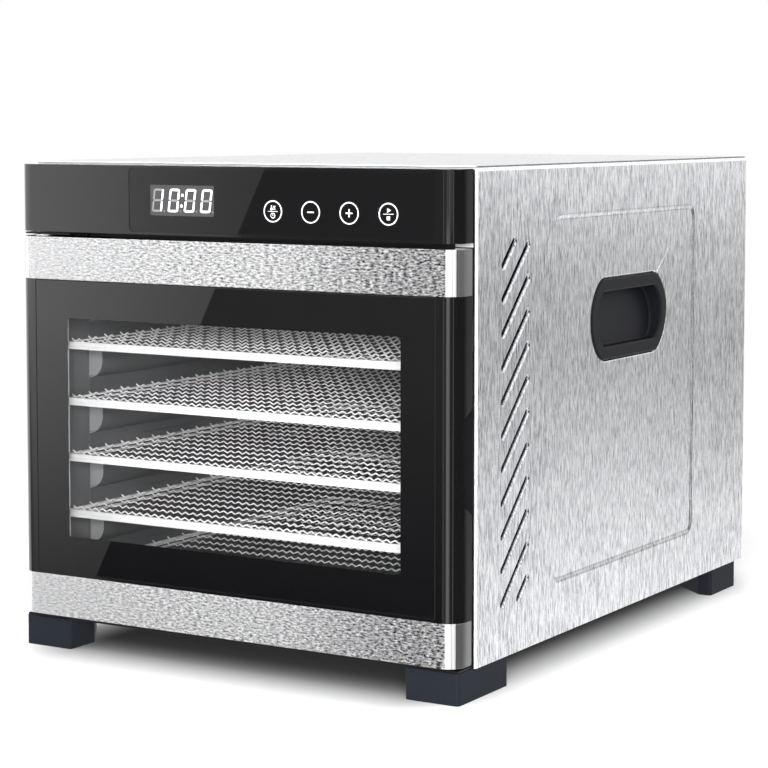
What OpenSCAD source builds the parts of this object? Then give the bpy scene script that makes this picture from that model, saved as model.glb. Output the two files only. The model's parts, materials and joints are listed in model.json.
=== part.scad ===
// Front-door food dehydrator: a steel cabinet on four feet, a left-hung glazed door, six wire
// trays on side racks, a rear fan and heater, and a touch control fascia above the door.
// Millimetres. X runs to the right, Y to the back, Z up. The origin is under the middle, on the floor.

/* [Cabinet] */
// Width of the outer shell
shell_w = 338; // [326:1:350]
// Depth of the outer shell, front hem to rear edge
shell_d = 419; // [405:1:435]
// Height of the outer shell
shell_h = 305; // [298:1:320]
// Thickness of the sheet steel
sheet = 0.8; // [0.6:0.1:1.2]
// Radius of the shell's two upper edges
shell_corner_r = 3; // [2:0.5:6]
// Width of the rolled hem round the shell's front edge, front to back
hem_w = 2.7; // [2:0.1:3.2]
// Thickness of the rolled hem
hem_t = 2.8; // [1.6:0.1:2.8]
// Height of the feet
foot_h = 20; // [14:1:26]
// How far the door and the fascia stand in front of the shell
front_reach = 21.5; // [21:0.5:24]
// How far the ends of the door and the fascia lie inside the shell's sides
front_inset = 1.2; // [0.6:0.1:2]
// How far the rear vent cover stands behind the shell
rear_reach = 9.5; // [8:0.5:12]

/* [Side panels] */
// Depth of the recess pressed into each side
emboss_depth = 0.8; // [0.4:0.1:1.6]
// Corner radius of the pressed recess
emboss_r = 10; // [6:1:16]
// From the shell's front edge to the recess
emboss_front = 100.5; // [96:0.5:110]
// From the recess to the shell's rear edge
emboss_rear = 94.5; // [80:0.5:110]
// From the shell's bottom edge to the recess
emboss_low = 33.5; // [25:0.5:45]
// From the recess to the top of the shell
emboss_high = 32.4; // [25:0.1:45]
// From the shell's front edge to the slanted vents
vent_front = 33.8; // [28:0.1:40]
// Run of each slanted vent, measured towards the back
vent_run = 32; // [26:1:36]
// Width of each slanted vent
vent_w = 3.8; // [3:0.1:5]
// Height from one vent to the next
vent_pitch = 21; // [18:0.5:24]

/* [Handles] */
// Depth of the pocket pressed for the handle, below the recess
seat_depth = 2.2; // [2:0.1:3]
// Clearance between the pocket and the bezel's edge
seat_clear = 0.5; // [0.3:0.1:1]
// Length of the handle bezel
bezel_len = 119; // [110:1:130]
// Height of the handle bezel
bezel_h = 54.7; // [50:0.1:60]
// Radius of the bezel's curved ends
bezel_end_r = 30; // [30:0.5:34]
// Width of the bezel's face
bezel_face = 9; // [7:0.5:11]
// Thickness of the bezel's face
bezel_t = 2.8; // [2:0.1:2.9]
// Wall of the handle cup
cup_wall = 2; // [1.5:0.1:2.5]
// Height of the handle's middle above the shell's bottom
handle_z = 199.6; // [185:0.1:215]
// Distance of the handle's middle behind the shell's front edge
handle_y = 217; // [205:0.5:225]

/* [Door] */
// Thickness of the door
door_t = 20; // [19:0.5:20]
// Radius of the vertical front edges of the door and the fascia
front_r = 12; // [12:0.5:12.5]
// Gap under the door
door_lift = 2.7; // [2.4:0.1:4]
// Gap between the door and the fascia
door_gap = 3.4; // [3.2:0.1:5]
// Height of the steel trim across the door's top
top_trim_h = 28.2; // [24:0.1:32]
// Height of the steel trim across the door's foot
low_trim_h = 27.7; // [24:0.1:32]
// Thickness of the trim's sheet
trim_t = 0.8; // [0.6:0.1:1.2]
// Width of the black stile at each side of the glass
stile_w = 15.1; // [13:0.1:17]
// Thickness of the door glass
glass_t = 4; // [3:0.5:5]
// Width of the glass's black border, glass edge to window
glass_border_x = 24.3; // [20:0.1:30]
// Height of the glass's black border, glass edge to window
glass_border_z = 24.8; // [20:0.1:30]
// Height of the finger grip in the door's free end
grip_h = 68; // [60:1:76]
// Depth of the finger grip into the door's end
grip_in = 10; // [8:0.5:11]
// Radius of the hinge pins
pin_r = 2.5; // [2:0.1:3]
// Radial running clearance of the hinge pins and the fan shaft
run_gap = 0.05; // [0.03:0.01:0.08]

/* [Controls] */
// Height of the control fascia
fascia_h = 44.3; // [40:0.1:46]
// How far the fascia's top lies below the top of the shell
fascia_drop = 1.8; // [1.5:0.1:3]
// Open gap between the fascia's rim and the shell's front edge
fascia_gap = 3; // [1:0.1:3.4]
// Wall of the fascia
fascia_wall = 2.5; // [2:0.1:3]
// Width of the control glass
panel_w = 227.6; // [215:0.1:235]
// Height of the control glass
panel_h = 40.7; // [37:0.1:41]
// Thickness of the control glass
panel_t = 1.2; // [1:0.1:1.5]
// Width of the display's face
display_w = 49.6; // [44:0.1:54]
// Height of the display's face
display_h = 19.5; // [16:0.1:22]
// Distance between the touch keys
key_pitch = 27.83; // [24:0.01:29]

/* [Trays] */
// Number of trays
tray_count = 6; // [4:1:7]
// From the chamber's floor to the middle of the lowest tray
tray_low = 15; // [12:0.5:20]
// From the middle of the highest tray to the chamber's ceiling
tray_high = 24; // [22:0.5:32]
// Height of the tray's rim
rim_h = 5; // [4:0.5:6]
// Width of the rim's strip
rim_w = 3; // [2:0.5:4]
// Gap behind a tray when its door is shut
tray_back_gap = 10.1; // [8:0.1:24]
// Gap between a tray and the rack beside it
tray_side_gap = 1.5; // [1:0.1:2]
// Corner radius of a tray
tray_r = 8; // [5:1:12]
// Thickness of the tray's wire mesh
mesh_t = 1.6; // [1.2:0.1:2]
// Spacing of the mesh's main wires
mesh_pitch = 25; // [20:1:30]
// How far a rack's runners stand out from the chamber wall
runner_w = 12; // [10:0.5:13]

/* [Fan and heater] */
// Outer radius of the fan impeller
fan_r = 75; // [60:1:78]
// Depth of the fan's blades
blade_d = 16; // [12:1:17]
// Number of fan blades
blade_count = 12; // [8:1:14]
// Radius of the fan shaft
shaft_r = 3; // [2.5:0.1:3.5]
// Radius of the heater ring
heater_r = 86; // [84:0.5:92]
// Radius of the heater's tube
heater_tube_r = 3.2; // [2.5:0.1:3.6]
// Radius of the motor
motor_r = 34; // [28:1:38]
// Outer radius of the rear vent cover
cover_r = 95; // [85:1:105]
// Radius of the cord gland's bore
cord_r = 3.6; // [3:0.1:4]

/* [Hidden] */
$fn = 64;

// Clearances
eps = 0.01;              // overshoot of a cut past a face
cut = 1;                 // overshoot of a through cut
seat_gap = 0.3;          // between pieces that move past or rest on each other
sheet_gap = 0.2;         // between folded sheets
press_gap = 0.02;        // round a pressed or threaded shank

// Main planes
total_d = front_reach + shell_d + rear_reach;
y_front = -total_d / 2;
y_shell = y_front + front_reach;
y_rear = y_shell + shell_d;
y_back = total_d / 2;
x_side = shell_w / 2;
x_in = x_side - sheet;
x_seat = x_side - emboss_depth - seat_depth;
z_low = foot_h;
z_high = foot_h + shell_h;
x_front = x_side - front_inset;

// Base and front frame
pan_t = 1.2;
z_pan = z_low + pan_t;
pan_flange = 10;
frame_inset = 3.5;       // from the shell's front edge back to the frame's face
y_frame = y_shell + frame_inset;
frame_lip = 5;           // length of the frame's lip into the chamber
sill_reach = 16.5;       // how far the frame's sill stands in front of the shell

// Fascia and door
z_fascia = z_high - fascia_drop - fascia_h;
z_door = z_low + door_lift;
z_door_top = z_fascia - door_gap;
y_door_back = y_front + door_t;
x_pivot = -(x_front - front_r);
y_pivot = y_front + front_r;
glass_margin = 0.5;      // black line between the glass and the trim above it
glass_foot = 1.9;        // black line between the glass and the trim below it
glass_x = x_front - stile_w;
glass_z0 = z_door + low_trim_h + glass_foot;
glass_z1 = z_door_top - top_trim_h - glass_margin;
glass_clear = 0.15;
frame_back_x = 4.5;      // how far the frame's opening lies back from the black border
frame_back_z = 1.7;
window_x = glass_x - glass_border_x + frame_back_x;
window_z0 = glass_z0 + glass_border_z - frame_back_z;
window_z1 = glass_z1 - glass_border_z + frame_back_z;
ledge_t = 1;             // straight part of the opening, behind the glass
splay_x = 13;            // how far the opening widens from there to the door's back
splay_z = 4.5;
plate_t = 2;
plate_inset = 1;
y_plate = y_door_back - plate_t;
z_grip = z_door + 124.3; // middle of the finger grip
grip_d = 12;             // depth of the grip measured from the door's back
grip_slant = 8;          // how far the grip's slanted ends run
door_screw_r = 1.5;
door_screw_head_r = 3;
door_screw_head_t = 1;
door_screw_l = 10;
door_screw_edge = 20;    // from the window's edge to the screws above and below it
bush_wall = 2;
bush_l = 12;
bush_flange_t = 1.1;
bush_flange_r = 5.6;
bracket_t = 1.2;
z_bracket = z_door_top + bush_flange_t + seat_gap;
pin_head_r = 4;
pin_head_t = 0.5;

// Chamber
jacket = 15.5;           // air gap between the shell and the chamber
chamber_x = x_in - jacket - sheet;
chamber_z0 = z_low + 14;
chamber_z1 = z_door_top - 12.5;
y_liner = y_frame + sheet + frame_lip;
plenum_d = 41;           // from the fan guard to the bulkhead
motor_bay = 29.3;        // from the bulkhead to the rear panel
rear_lap = 0.2;          // how far the rear panel lies inside the shell's rear edge
y_panel = y_rear - rear_lap - sheet;
y_bulkhead = y_panel - motor_bay - sheet;
y_guard = y_bulkhead - plenum_d - sheet;

// Racks and trays
z_first_tray = chamber_z0 + tray_low;
tray_pitch = (chamber_z1 - tray_high - z_first_tray) / (tray_count - 1);
rack_front = 23;         // from the liner's front edge to the rack
y_rack = y_liner + rack_front;
rack_t = sheet;
rack_back_gap = 3;
rack_x = chamber_x - rack_t;
runner_drop = 10;        // straight height of a runner's inner face
tray_x = rack_x - tray_side_gap;
tray_setback = 2.5;      // from the frame's face back to a tray's front
y_tray = y_frame + tray_setback;
tray_d = y_guard - tray_back_gap - y_tray;
y_tray_mid = y_tray + tray_d / 2;

// Gasket and catch
gasket_w = 4;
gasket_x = chamber_x + 0.5;
gasket_edge = 2;         // from the chamber's opening to the gasket, above and below
gasket_r = 5;
catch_w = 7;
catch_h = 20;
catch_x = gasket_x + gasket_w + 2;
strike_t = 1.5;
magnet_d = 12;
catch_edge = 52;         // from the door's foot to the lower catch, and from its top to the upper one
catch_z = [z_door + catch_edge, z_door_top - catch_edge];

// Fan, heater and motor
z_fan = (chamber_z0 + chamber_z1) / 2;
guard_gap = 9;           // from the guard to the fan's blades
disc_t = 1.5;
hub_r = 11;
hub_l = blade_d + disc_t + 3;
y_fan = y_guard + sheet + guard_gap;
nut_t = 4.5;
nut_r = 5.6;
shaft_end = 0.6;         // thread left standing in front of the nut
bracket_d = 4;
y_motor = y_bulkhead + sheet + bracket_d;
motor_l = 22;
shaft_hole_r = 13;
ring_step = 10;          // between the heater's two turns
y_ring = y_fan + 6;
sleeve_r = heater_tube_r + 0.8;
terminal_l = 12;
clip_t = 1.5;
clip_w = 10;

// Fascia interior
panel_x = x_front - stile_w - panel_w / 2;
z_panel = z_fascia + 1.8 + panel_h / 2;
panel_r = 3;
panel_ledge = 3.5;
display_x = panel_x - 71.9;
z_display = z_panel + 0.1;
key_x = panel_x - 2.6;   // middle of the first touch key
z_key = z_panel - 5.25;
key_r = 4.5;
board_t = 1.6;
board_back = 10;         // from the back of the glass to the board
y_glass_back = y_front + panel_t;
y_board = y_glass_back + board_back;
plug_gap = 0.5;
power_gap = 8;           // height of the power board above the chamber
power_w = 140;
power_d = 100;
power_back = 50;         // from the front frame to the power board
power_edge = 12;         // from the board's edges to its parts
transformer = [30, 28, 22];
relay = [20, 16, 15];
heat_sink = [3, 50, 20];
terminal_block = [40, 12, 11];
capacitor_r = 8;
capacitor_h = 20;
loom_r = 3;

// Feet and screws
foot_w = 37.8;
foot_in = 2.2;           // from the shell's side to the foot
front_foot_long = 63.3;
front_foot_short = 27;
rear_foot_long = 46.2;
rear_foot_short = 23;
front_foot_y = y_front + 3.8;
rear_foot_y = y_rear - 7.7;
foot_r = 2.5;
screw_r = 2;
screw_head_r = 4;
screw_head_t = 2.5;

// Rear panel fittings
cord_x = -(x_in - 42);
z_cord = z_low + 30;
gland_wall = 3.6;
gland_flange = 4;
gland_flange_t = 2.6;
gland_in = 9;
gland_out = 8;
cover_wall = 2;
cover_hole_r = cover_r - 12;
cover_screw_r = cover_r - 6;

// ---------- helpers ----------

// A box from its lowest corner to its highest
module box(lo, hi) {
  translate(lo) cube(hi - lo);
}

// Extrudes a sketch drawn in X and Z backwards from y
module along_y(y, len) {
  translate([0, y + len, 0]) rotate([90, 0, 0]) linear_extrude(len) children();
}

// Extrudes a sketch drawn in Y and Z to the right from x
module along_x(x, len) {
  translate([x, 0, 0]) rotate([90, 0, 90]) linear_extrude(len) children();
}

// A rod along Y
module rod_y(x, y, z, r, len) {
  translate([x, y, z]) rotate([-90, 0, 0]) cylinder(r = r, h = len);
}

// A rectangle with round corners, from its lowest corner to its highest
module round_rect(lo, hi, r) {
  translate([lo[0] + r, lo[1]]) square([hi[0] - lo[0] - 2 * r, hi[1] - lo[1]]);
  translate([lo[0], lo[1] + r]) square([hi[0] - lo[0], hi[1] - lo[1] - 2 * r]);
  for (x = [lo[0] + r, hi[0] - r], y = [lo[1] + r, hi[1] - r])
    translate([x, y]) circle(r);
}

// A piece and its mirror image on the other side
module both_sides() {
  children();
  mirror([1, 0, 0]) children();
}

// ---------- outer shell ----------

module shell_section(inset) {
  r = max(shell_corner_r - inset, 0.5);
  x = x_side - inset;
  z = z_high - inset;
  translate([-x, z_low - (inset > 0 ? cut : 0)]) square([2 * x, z - r - z_low + (inset > 0 ? cut : 0)]);
  translate([-(x - r), z - r - cut]) square([2 * (x - r), r + cut]);
  for (side = [-1, 1])
    translate([side * (x - r), z - r]) circle(r);
}

// A sheet that closes the shell's end, from height z up, with its upper corners rounded to fit
module closing_sheet(z) {
  gap = sheet + sheet_gap;
  intersection() {
    shell_section(gap);
    translate([-x_side, z]) square([shell_w, z_high - z]);
  }
}

module emboss_outline(grow) {
  round_rect([y_shell + emboss_front - grow, z_low + emboss_low - grow],
    [y_rear - emboss_rear + grow, z_high - emboss_high + grow], emboss_r + grow);
}

// One slanted vent with round ends, number n counted up from the lowest
module vent(n) {
  y0 = y_shell + vent_front;
  low = z_low + emboss_low;
  high = z_high - emboss_high - 15;
  rise = vent_run;
  start = low + (n - 1) * vent_pitch;
  t0 = max(0, (low - start) / rise);
  t1 = min(1, (high - start) / rise);
  if (t1 - t0 > 0.25)
    translate([y0 + t0 * vent_run, start + t0 * rise]) rotate([0, 0, 45]) {
      len = (t1 - t0) * vent_run * sqrt(2);
      translate([0, -vent_w / 2]) square([len, vent_w]);
      circle(d = vent_w);
      translate([len, 0]) circle(d = vent_w);
    }
}

module vents() {
  for (n = [0:ceil((z_high - z_low) / vent_pitch)])
    vent(n);
}

module outer_shell() {
  color("silver") difference() {
    union() {
      difference() {
        along_y(y_shell, shell_d) shell_section(0);
        along_y(y_shell - cut, shell_d + 2 * cut) shell_section(sheet);
      }
      difference() {
        along_y(y_shell, hem_w) shell_section(0);
        along_y(y_shell - cut, hem_w + 2 * cut) shell_section(hem_t);
      }
      both_sides()
        along_x(x_side - emboss_depth - sheet, emboss_depth + sheet / 2) emboss_outline(sheet);
      both_sides()
        along_x(x_seat - sheet, seat_depth + sheet / 2) handle_outline(seat_clear + sheet);
    }
    both_sides() {
      along_x(x_side - emboss_depth, emboss_depth + cut) emboss_outline(0);
      along_x(x_seat, seat_depth + cut) handle_outline(seat_clear);
      along_x(x_seat - sheet - cut, sheet + 2 * cut)
        handle_outline(sheet_gap - bezel_face + cup_wall);
      along_x(x_in - cut, sheet + 2 * cut) vents();
    }
  }
}

// ---------- handles ----------

y_handle = y_shell + handle_y;
z_handle = z_low + handle_z;

module handle_outline(grow) {
  h = bezel_h / 2 + grow;
  r = bezel_end_r + grow;
  reach = bezel_len / 2 - bezel_end_r;
  translate([y_handle, z_handle]) intersection() {
    union() {
      square([2 * reach, 2 * h], center = true);
      for (side = [-1, 1])
        translate([side * reach, 0]) circle(r);
    }
    square([bezel_len + 2 * grow + 2, 2 * h], center = true);
  }
}

// The space in front of the cup's sloping back, or behind it by depth
module cup_slope(depth) {
  h = bezel_h / 2;
  x_top = chamber_x + sheet + 1 + cup_wall - depth;
  x_foot = x_seat - 3 - depth;
  translate([0, y_handle - bezel_len, 0]) rotate([90, 0, 0]) mirror([0, 0, 1])
    linear_extrude(2 * bezel_len)
      polygon([[x_foot, z_handle - h], [x_side + cut, z_handle - h],
        [x_side + cut, z_handle + h], [x_top, z_handle + h]]);
}

module handle_cup() {
  difference() {
    union() {
      along_x(x_seat, bezel_t) handle_outline(0);
      intersection() {
        along_x(chamber_x, x_seat - chamber_x + eps)
          handle_outline(cup_wall - bezel_face);
        cup_slope(cup_wall);
      }
    }
    intersection() {
      along_x(chamber_x, x_side - chamber_x + 2 * cut) handle_outline(-bezel_face);
      cup_slope(0);
    }
  }
}

module right_handle_cup() {
  color("#28292c") handle_cup();
}

module left_handle_cup() {
  color("#28292c") mirror([1, 0, 0]) handle_cup();
}

// ---------- base, frame and chamber ----------

module base_pan() {
  x = x_in - sheet_gap;
  y1 = y_panel - sheet_gap;
  color("dimgray") difference() {
    box([-x, y_frame + sheet, z_low], [x, y1, z_low + pan_flange]);
    box([-x + sheet, y_frame + 2 * sheet, z_pan], [x - sheet, y1 - sheet, z_high]);
    for (n = [-3:3])
      box([n * 30 - 4, y_fan - 40, z_low - cut], [n * 30 + 4, y_fan + 10, z_pan + cut]);
    foot_holes(screw_r + press_gap);
    rear_screw_rods(screw_r + press_gap, y1 - 2 * cut, 3 * cut);
  }
}

module front_frame() {
  x_sill = x_side - hem_t - sheet_gap;
  color("#2b2c30") difference() {
    union() {
      along_y(y_frame, sheet) closing_sheet(z_low);
      box([-x_sill, y_shell - sill_reach, z_low], [x_sill, y_frame + eps, z_pan]);
      box([-chamber_x - sheet, y_frame, chamber_z0 - sheet],
        [chamber_x + sheet, y_liner, chamber_z1 + sheet]);
    }
    box([-chamber_x, y_frame - cut, chamber_z0], [chamber_x, y_liner + cut, chamber_z1]);
    box([panel_x - panel_w / 2 + 8, y_frame - cut, z_fascia + 7],
      [panel_x + panel_w / 2 - 8, y_frame + sheet + cut, z_fascia + fascia_h - 7]);
    catch_blocks(y_frame - cut, sheet + 2 * cut, sheet_gap);
    translate([x_pivot, y_pivot, z_low - cut]) cylinder(r = pin_r + press_gap, h = pan_t + 2 * cut);
  }
}

module chamber_liner() {
  color("lightgray") difference() {
    box([-chamber_x - sheet, y_liner, chamber_z0 - sheet],
      [chamber_x + sheet, y_bulkhead, chamber_z1 + sheet]);
    box([-chamber_x, y_liner - cut, chamber_z0], [chamber_x, y_bulkhead + cut, chamber_z1]);
    translate([probe_x, probe_y, chamber_z1 - cut]) cylinder(r = probe_r + press_gap, h = sheet + 2 * cut);
  }
}

module rear_bulkhead() {
  x = x_in - sheet_gap;
  color("lightgray") difference() {
    box([-x, y_bulkhead, z_pan], [x, y_bulkhead + sheet, chamber_z1 + sheet]);
    box([-x - cut, y_bulkhead - cut, z_pan - cut], [-x + sheet + sheet_gap, y_bulkhead + 2, z_low + pan_flange + 1]);
    box([x - sheet - sheet_gap, y_bulkhead - cut, z_pan - cut], [x + cut, y_bulkhead + 2, z_low + pan_flange + 1]);
    rod_y(0, y_bulkhead - cut, z_fan, shaft_hole_r, sheet + 2 * cut);
    for (a = terminal_angles)
      heater_spot(a) rod_y(0, y_bulkhead - cut, 0, sleeve_r + 1.5, sheet + 2 * cut);
  }
}

// The perforated guard between the trays and the fan
module fan_guard() {
  x = chamber_x - sheet_gap;
  ring_gap = 15;
  hole_r = 3.6;
  color("lightgray") difference() {
    box([-x, y_guard, chamber_z0 + sheet_gap], [x, y_guard + sheet, chamber_z1 - sheet_gap]);
    for (ring = [1:6], n = [0:6 * ring - 1]) {
      a = 360 * n / (6 * ring);
      rod_y(ring * ring_gap * cos(a), y_guard - cut, z_fan + ring * ring_gap * sin(a),
        hole_r, sheet + 2 * cut);
    }
  }
}

// ---------- racks ----------

function tray_z(i) = z_first_tray + (i - 1) * tray_pitch;

module runner_section(inset) {
  w = runner_w - inset;
  translate([-w, -runner_drop]) square([w + (inset > 0 ? cut : 0), runner_drop - inset]);
  intersection() {
    translate([0, -runner_drop]) circle(w);
    translate([-2 * runner_w, -3 * runner_w - runner_drop])
      square([2 * runner_w + (inset > 0 ? cut : 0), 3 * runner_w + eps]);
  }
}

module rack() {
  y1 = y_guard - rack_back_gap;
  difference() {
    box([rack_x, y_rack, chamber_z0 + sheet_gap], [chamber_x, y1, chamber_z1 - 4]);
    for (i = [1:tray_count])
      along_y_hole(i, y_rack + 60, y1 - 60);
  }
  intersection() {
    for (i = [1:tray_count])
      translate([chamber_x, 0, tray_z(i) - rim_h / 2 - seat_gap])
        along_y(y_rack, y1 - y_rack) difference() {
          runner_section(0);
          intersection() {
            runner_section(rack_t);
            translate([-runner_w, -2 * runner_w - runner_drop])
              square([runner_w - rack_t, 3 * runner_w + runner_drop]);
          }
        }
    box([chamber_x - 2 * runner_w, y_rack, chamber_z0 + sheet_gap], [chamber_x, y1, chamber_z1]);
  }
}

// Two weight-saving slots in a rack's sheet above each tray
module along_y_hole(i, y0, y1) {
  z = tray_z(i) + rim_h / 2 + 4;
  mid = (y0 + y1) / 2;
  for (span = [[y0, mid - 20], [mid + 20, y1]])
    box([rack_x - cut, span[0], z], [chamber_x + cut, span[1], z + 5]);
}

module right_rack() {
  color("gainsboro") rack();
}

module left_rack() {
  color("gainsboro") mirror([1, 0, 0]) rack();
}

// ---------- trays ----------

module tray_rim(i) {
  z = tray_z(i) - rim_h / 2;
  color("whitesmoke") translate([0, 0, z]) linear_extrude(rim_h) difference() {
    round_rect([-tray_x, y_tray], [tray_x, y_tray + tray_d], tray_r);
    round_rect([-tray_x + rim_w, y_tray + rim_w], [tray_x - rim_w, y_tray + tray_d - rim_w],
      tray_r - rim_w);
  }
}

module tray_mesh(i) {
  x = tray_x - rim_w;
  wire = 2;
  nx = floor(x / mesh_pitch);
  ny = floor((tray_d / 2 - rim_w) / mesh_pitch);
  y0 = y_tray + rim_w;
  y1 = y_tray + tray_d - rim_w;
  edge = 4;
  color("gainsboro") translate([0, 0, tray_z(i) - mesh_t / 2]) linear_extrude(mesh_t) {
    difference() {
      round_rect([-x, y0], [x, y1], tray_r - rim_w);
      round_rect([-x + edge, y0 + edge], [x - edge, y1 - edge], 1);
    }
    for (n = [-nx:nx])
      translate([n * mesh_pitch - wire / 2, y0 + edge - 1]) square([wire, y1 - y0 - 2 * edge + 2]);
    for (n = [-ny:ny])
      translate([-x + edge - 1, y_tray_mid + n * mesh_pitch - wire / 2])
        square([2 * (x - edge) + 2, wire]);
  }
}

// ---------- rear ----------

module rear_panel() {
  z1 = z_high - sheet - sheet_gap;
  flange = 9;
  color("dimgray") difference() {
    union() {
      along_y(y_panel, sheet) closing_sheet(z_low);
      difference() {
        along_y(y_panel - flange, flange + eps) closing_sheet(z_low + pan_flange + 2);
        along_y(y_panel - flange - cut, flange + 2 * cut) shell_section(2 * sheet + sheet_gap);
      }
    }
    rod_y(0, y_panel - cut, z_fan, cover_hole_r, sheet + 2 * cut);
    rod_y(cord_x, y_panel - cut, z_cord, cord_r + gland_wall + press_gap, sheet + 2 * cut);
    for (n = [-5:5])
      box([n * 20 - 2, y_panel - cut, z1 - 45], [n * 20 + 2, y_panel + sheet + cut, z1 - 20]);
    rear_screw_rods(screw_r + press_gap, y_panel - cut, sheet + 2 * cut);
    cover_screw_rods(screw_r + press_gap, y_panel - cut, sheet + 2 * cut);
  }
}

module rear_vent_cover() {
  depth = y_back - y_panel - sheet;
  y0 = y_panel + sheet;
  color("#26272a") difference() {
    translate([0, y0, z_fan]) rotate([-90, 0, 0]) difference() {
      union() {
        cylinder(r = cover_r, h = depth - 2);
        cylinder(r = cover_r - 2, h = depth);
      }
      translate([0, 0, -cut]) cylinder(r = cover_r - 12, h = depth - cover_wall + cut);
    }
    for (n = [-6:6]) {
      reach = sqrt(pow(cover_r - 18, 2) - pow(n * 11, 2));
      box([-reach, y0 + cut, z_fan + n * 11 - 2], [reach, y_back + cut, z_fan + n * 11 + 2]);
    }
    cover_screw_rods(screw_r + press_gap, y0 - cut, depth + 2 * cut);
    cover_screw_rods(screw_head_r + press_gap, y_back - screw_head_t, screw_head_t + cut);
  }
}

module cover_screw_rods(r, y, len) {
  for (a = [45:90:315])
    rod_y(cover_screw_r * cos(a), y, z_fan + cover_screw_r * sin(a), r, len);
}

module rear_screw_rods(r, y, len) {
  inset = 5;
  for (side = [-1, 1], z = [z_low + 5, z_low + 100, z_high - 100, z_high - 12])
    rod_y(side * (x_in - inset), y, z, r, len);
}

module rear_screws() {
  depth = y_back - y_panel - sheet;
  color("silver") {
    rear_screw_rods(screw_r, y_panel - 7, 7 + sheet);
    rear_screw_rods(screw_head_r, y_panel + sheet, screw_head_t);
    cover_screw_rods(screw_r, y_panel - 3, 3 + sheet + depth - screw_head_t + eps);
    cover_screw_rods(screw_head_r, y_back - screw_head_t, screw_head_t - 0.5);
  }
}

module cord_gland() {
  outer = cord_r + gland_wall;
  y0 = y_panel - gland_in;
  len = gland_in + sheet + gland_out;
  color("#1c1c1e") difference() {
    union() {
      rod_y(cord_x, y0, z_cord, outer, len);
      rod_y(cord_x, y_panel + sheet, z_cord, outer + gland_flange, gland_flange_t);
      rod_y(cord_x, y_panel - gland_flange_t, z_cord, outer + gland_flange / 2, gland_flange_t);
    }
    rod_y(cord_x, y0 - cut, z_cord, cord_r, len + 2 * cut);
  }
}

// ---------- fan, heater and motor ----------

terminal_angles = [340, 328];

// Places its children on the heater ring at an angle
module heater_spot(a) {
  translate([heater_r * cos(a), 0, z_fan + heater_r * sin(a)]) children();
}

// One turn of the heater, from angle a0 to angle a1
module heater_turn(y, a0, a1) {
  translate([0, y, z_fan]) rotate([90, 0, 0]) rotate([0, 0, a0])
    rotate_extrude(angle = a1 - a0) translate([heater_r, 0]) circle(heater_tube_r);
}

module heater_element() {
  back = y_bulkhead + sheet + terminal_l;
  color("#8a8078") {
    heater_turn(y_ring, 20, terminal_angles[0]);
    heater_turn(y_ring + ring_step, 20, terminal_angles[1]);
    heater_spot(20) rod_y(0, y_ring - sleeve_r, 0, sleeve_r, ring_step + 2 * sleeve_r);
    heater_spot(terminal_angles[0]) rod_y(0, y_ring - sleeve_r, 0, sleeve_r, back - y_ring + sleeve_r);
    heater_spot(terminal_angles[1])
      rod_y(0, y_ring + ring_step - sleeve_r, 0, sleeve_r, back - y_ring - ring_step + sleeve_r);
  }
}

module heater_clips() {
  r = heater_r + heater_tube_r + seat_gap;
  color("gainsboro")
    for (a = [90, 180, 270])
      translate([0, 0, z_fan]) rotate([0, -a, 0]) {
        box([r, y_ring - heater_tube_r - 2, -clip_w / 2], [r + clip_t, y_bulkhead, clip_w / 2]);
        box([r, y_bulkhead - clip_t, -clip_w / 2], [r + 12, y_bulkhead, clip_w / 2]);
      }
}

module fan_motor() {
  color("#6f7378") difference() {
    union() {
      rod_y(0, y_motor, z_fan, motor_r, motor_l);
      rod_y(0, y_motor - 3, z_fan, shaft_hole_r - 4, motor_l + 4);
    }
    rod_y(0, y_motor - 3 - cut, z_fan, shaft_r + run_gap, motor_l + 4 + 2 * cut);
  }
}

module motor_bracket() {
  plate = 1.2;
  color("gainsboro") difference() {
    union() {
      rod_y(0, y_motor - plate, z_fan, motor_r + 10, plate);
      for (a = [45:90:315])
        rod_y((motor_r + 5) * cos(a), y_bulkhead + sheet, z_fan + (motor_r + 5) * sin(a), 3.5,
          bracket_d - plate + eps);
    }
    rod_y(0, y_bulkhead, z_fan, shaft_hole_r - 3, bracket_d + 2 * cut);
  }
}

module fan_shaft() {
  y0 = y_fan - nut_t - shaft_end;
  color("silver") rod_y(0, y0, z_fan, shaft_r, y_motor + motor_l - y0);
}

module fan_impeller() {
  blade_t = 1.2;
  inner = 34;
  color("#9aa0a6") difference() {
    union() {
      rod_y(0, y_fan, z_fan, hub_r, hub_l);
      rod_y(0, y_fan + blade_d, z_fan, fan_r, disc_t);
      for (n = [0:blade_count - 1])
        translate([0, y_fan, z_fan]) rotate([0, n * 360 / blade_count, 0]) translate([inner, 0, 0])
          rotate([0, 28, 0]) cube([fan_r - inner - 6, blade_d + eps, blade_t]);
    }
    rod_y(0, y_fan - cut, z_fan, shaft_r + press_gap, hub_l + 2 * cut);
  }
}

module fan_nut() {
  color("silver") translate([0, y_fan - nut_t, z_fan]) rotate([-90, 0, 0]) difference() {
    cylinder(r = nut_r, h = nut_t, $fn = 6);
    translate([0, 0, -cut]) cylinder(r = shaft_r + press_gap, h = nut_t + 2 * cut);
  }
}

module thermal_cutout() {
  x = chamber_x - 45;
  z = chamber_z1 - 33;
  color("#d8d3c4") {
    rod_y(x, y_bulkhead - 6, z, 8, 6);
    box([x - 12, y_bulkhead - 1.5, z - 4], [x + 12, y_bulkhead, z + 4]);
  }
}

probe_x = chamber_x - 90;
probe_y = y_guard - 8;
probe_r = 2.4;

module temperature_probe() {
  color("silver") translate([probe_x, probe_y, chamber_z1 - 12]) {
    cylinder(r = probe_r, h = 24);
    translate([0, 0, 12 + sheet]) cylinder(r = probe_r + 2.5, h = 2);
  }
}

// ---------- controls ----------

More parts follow.
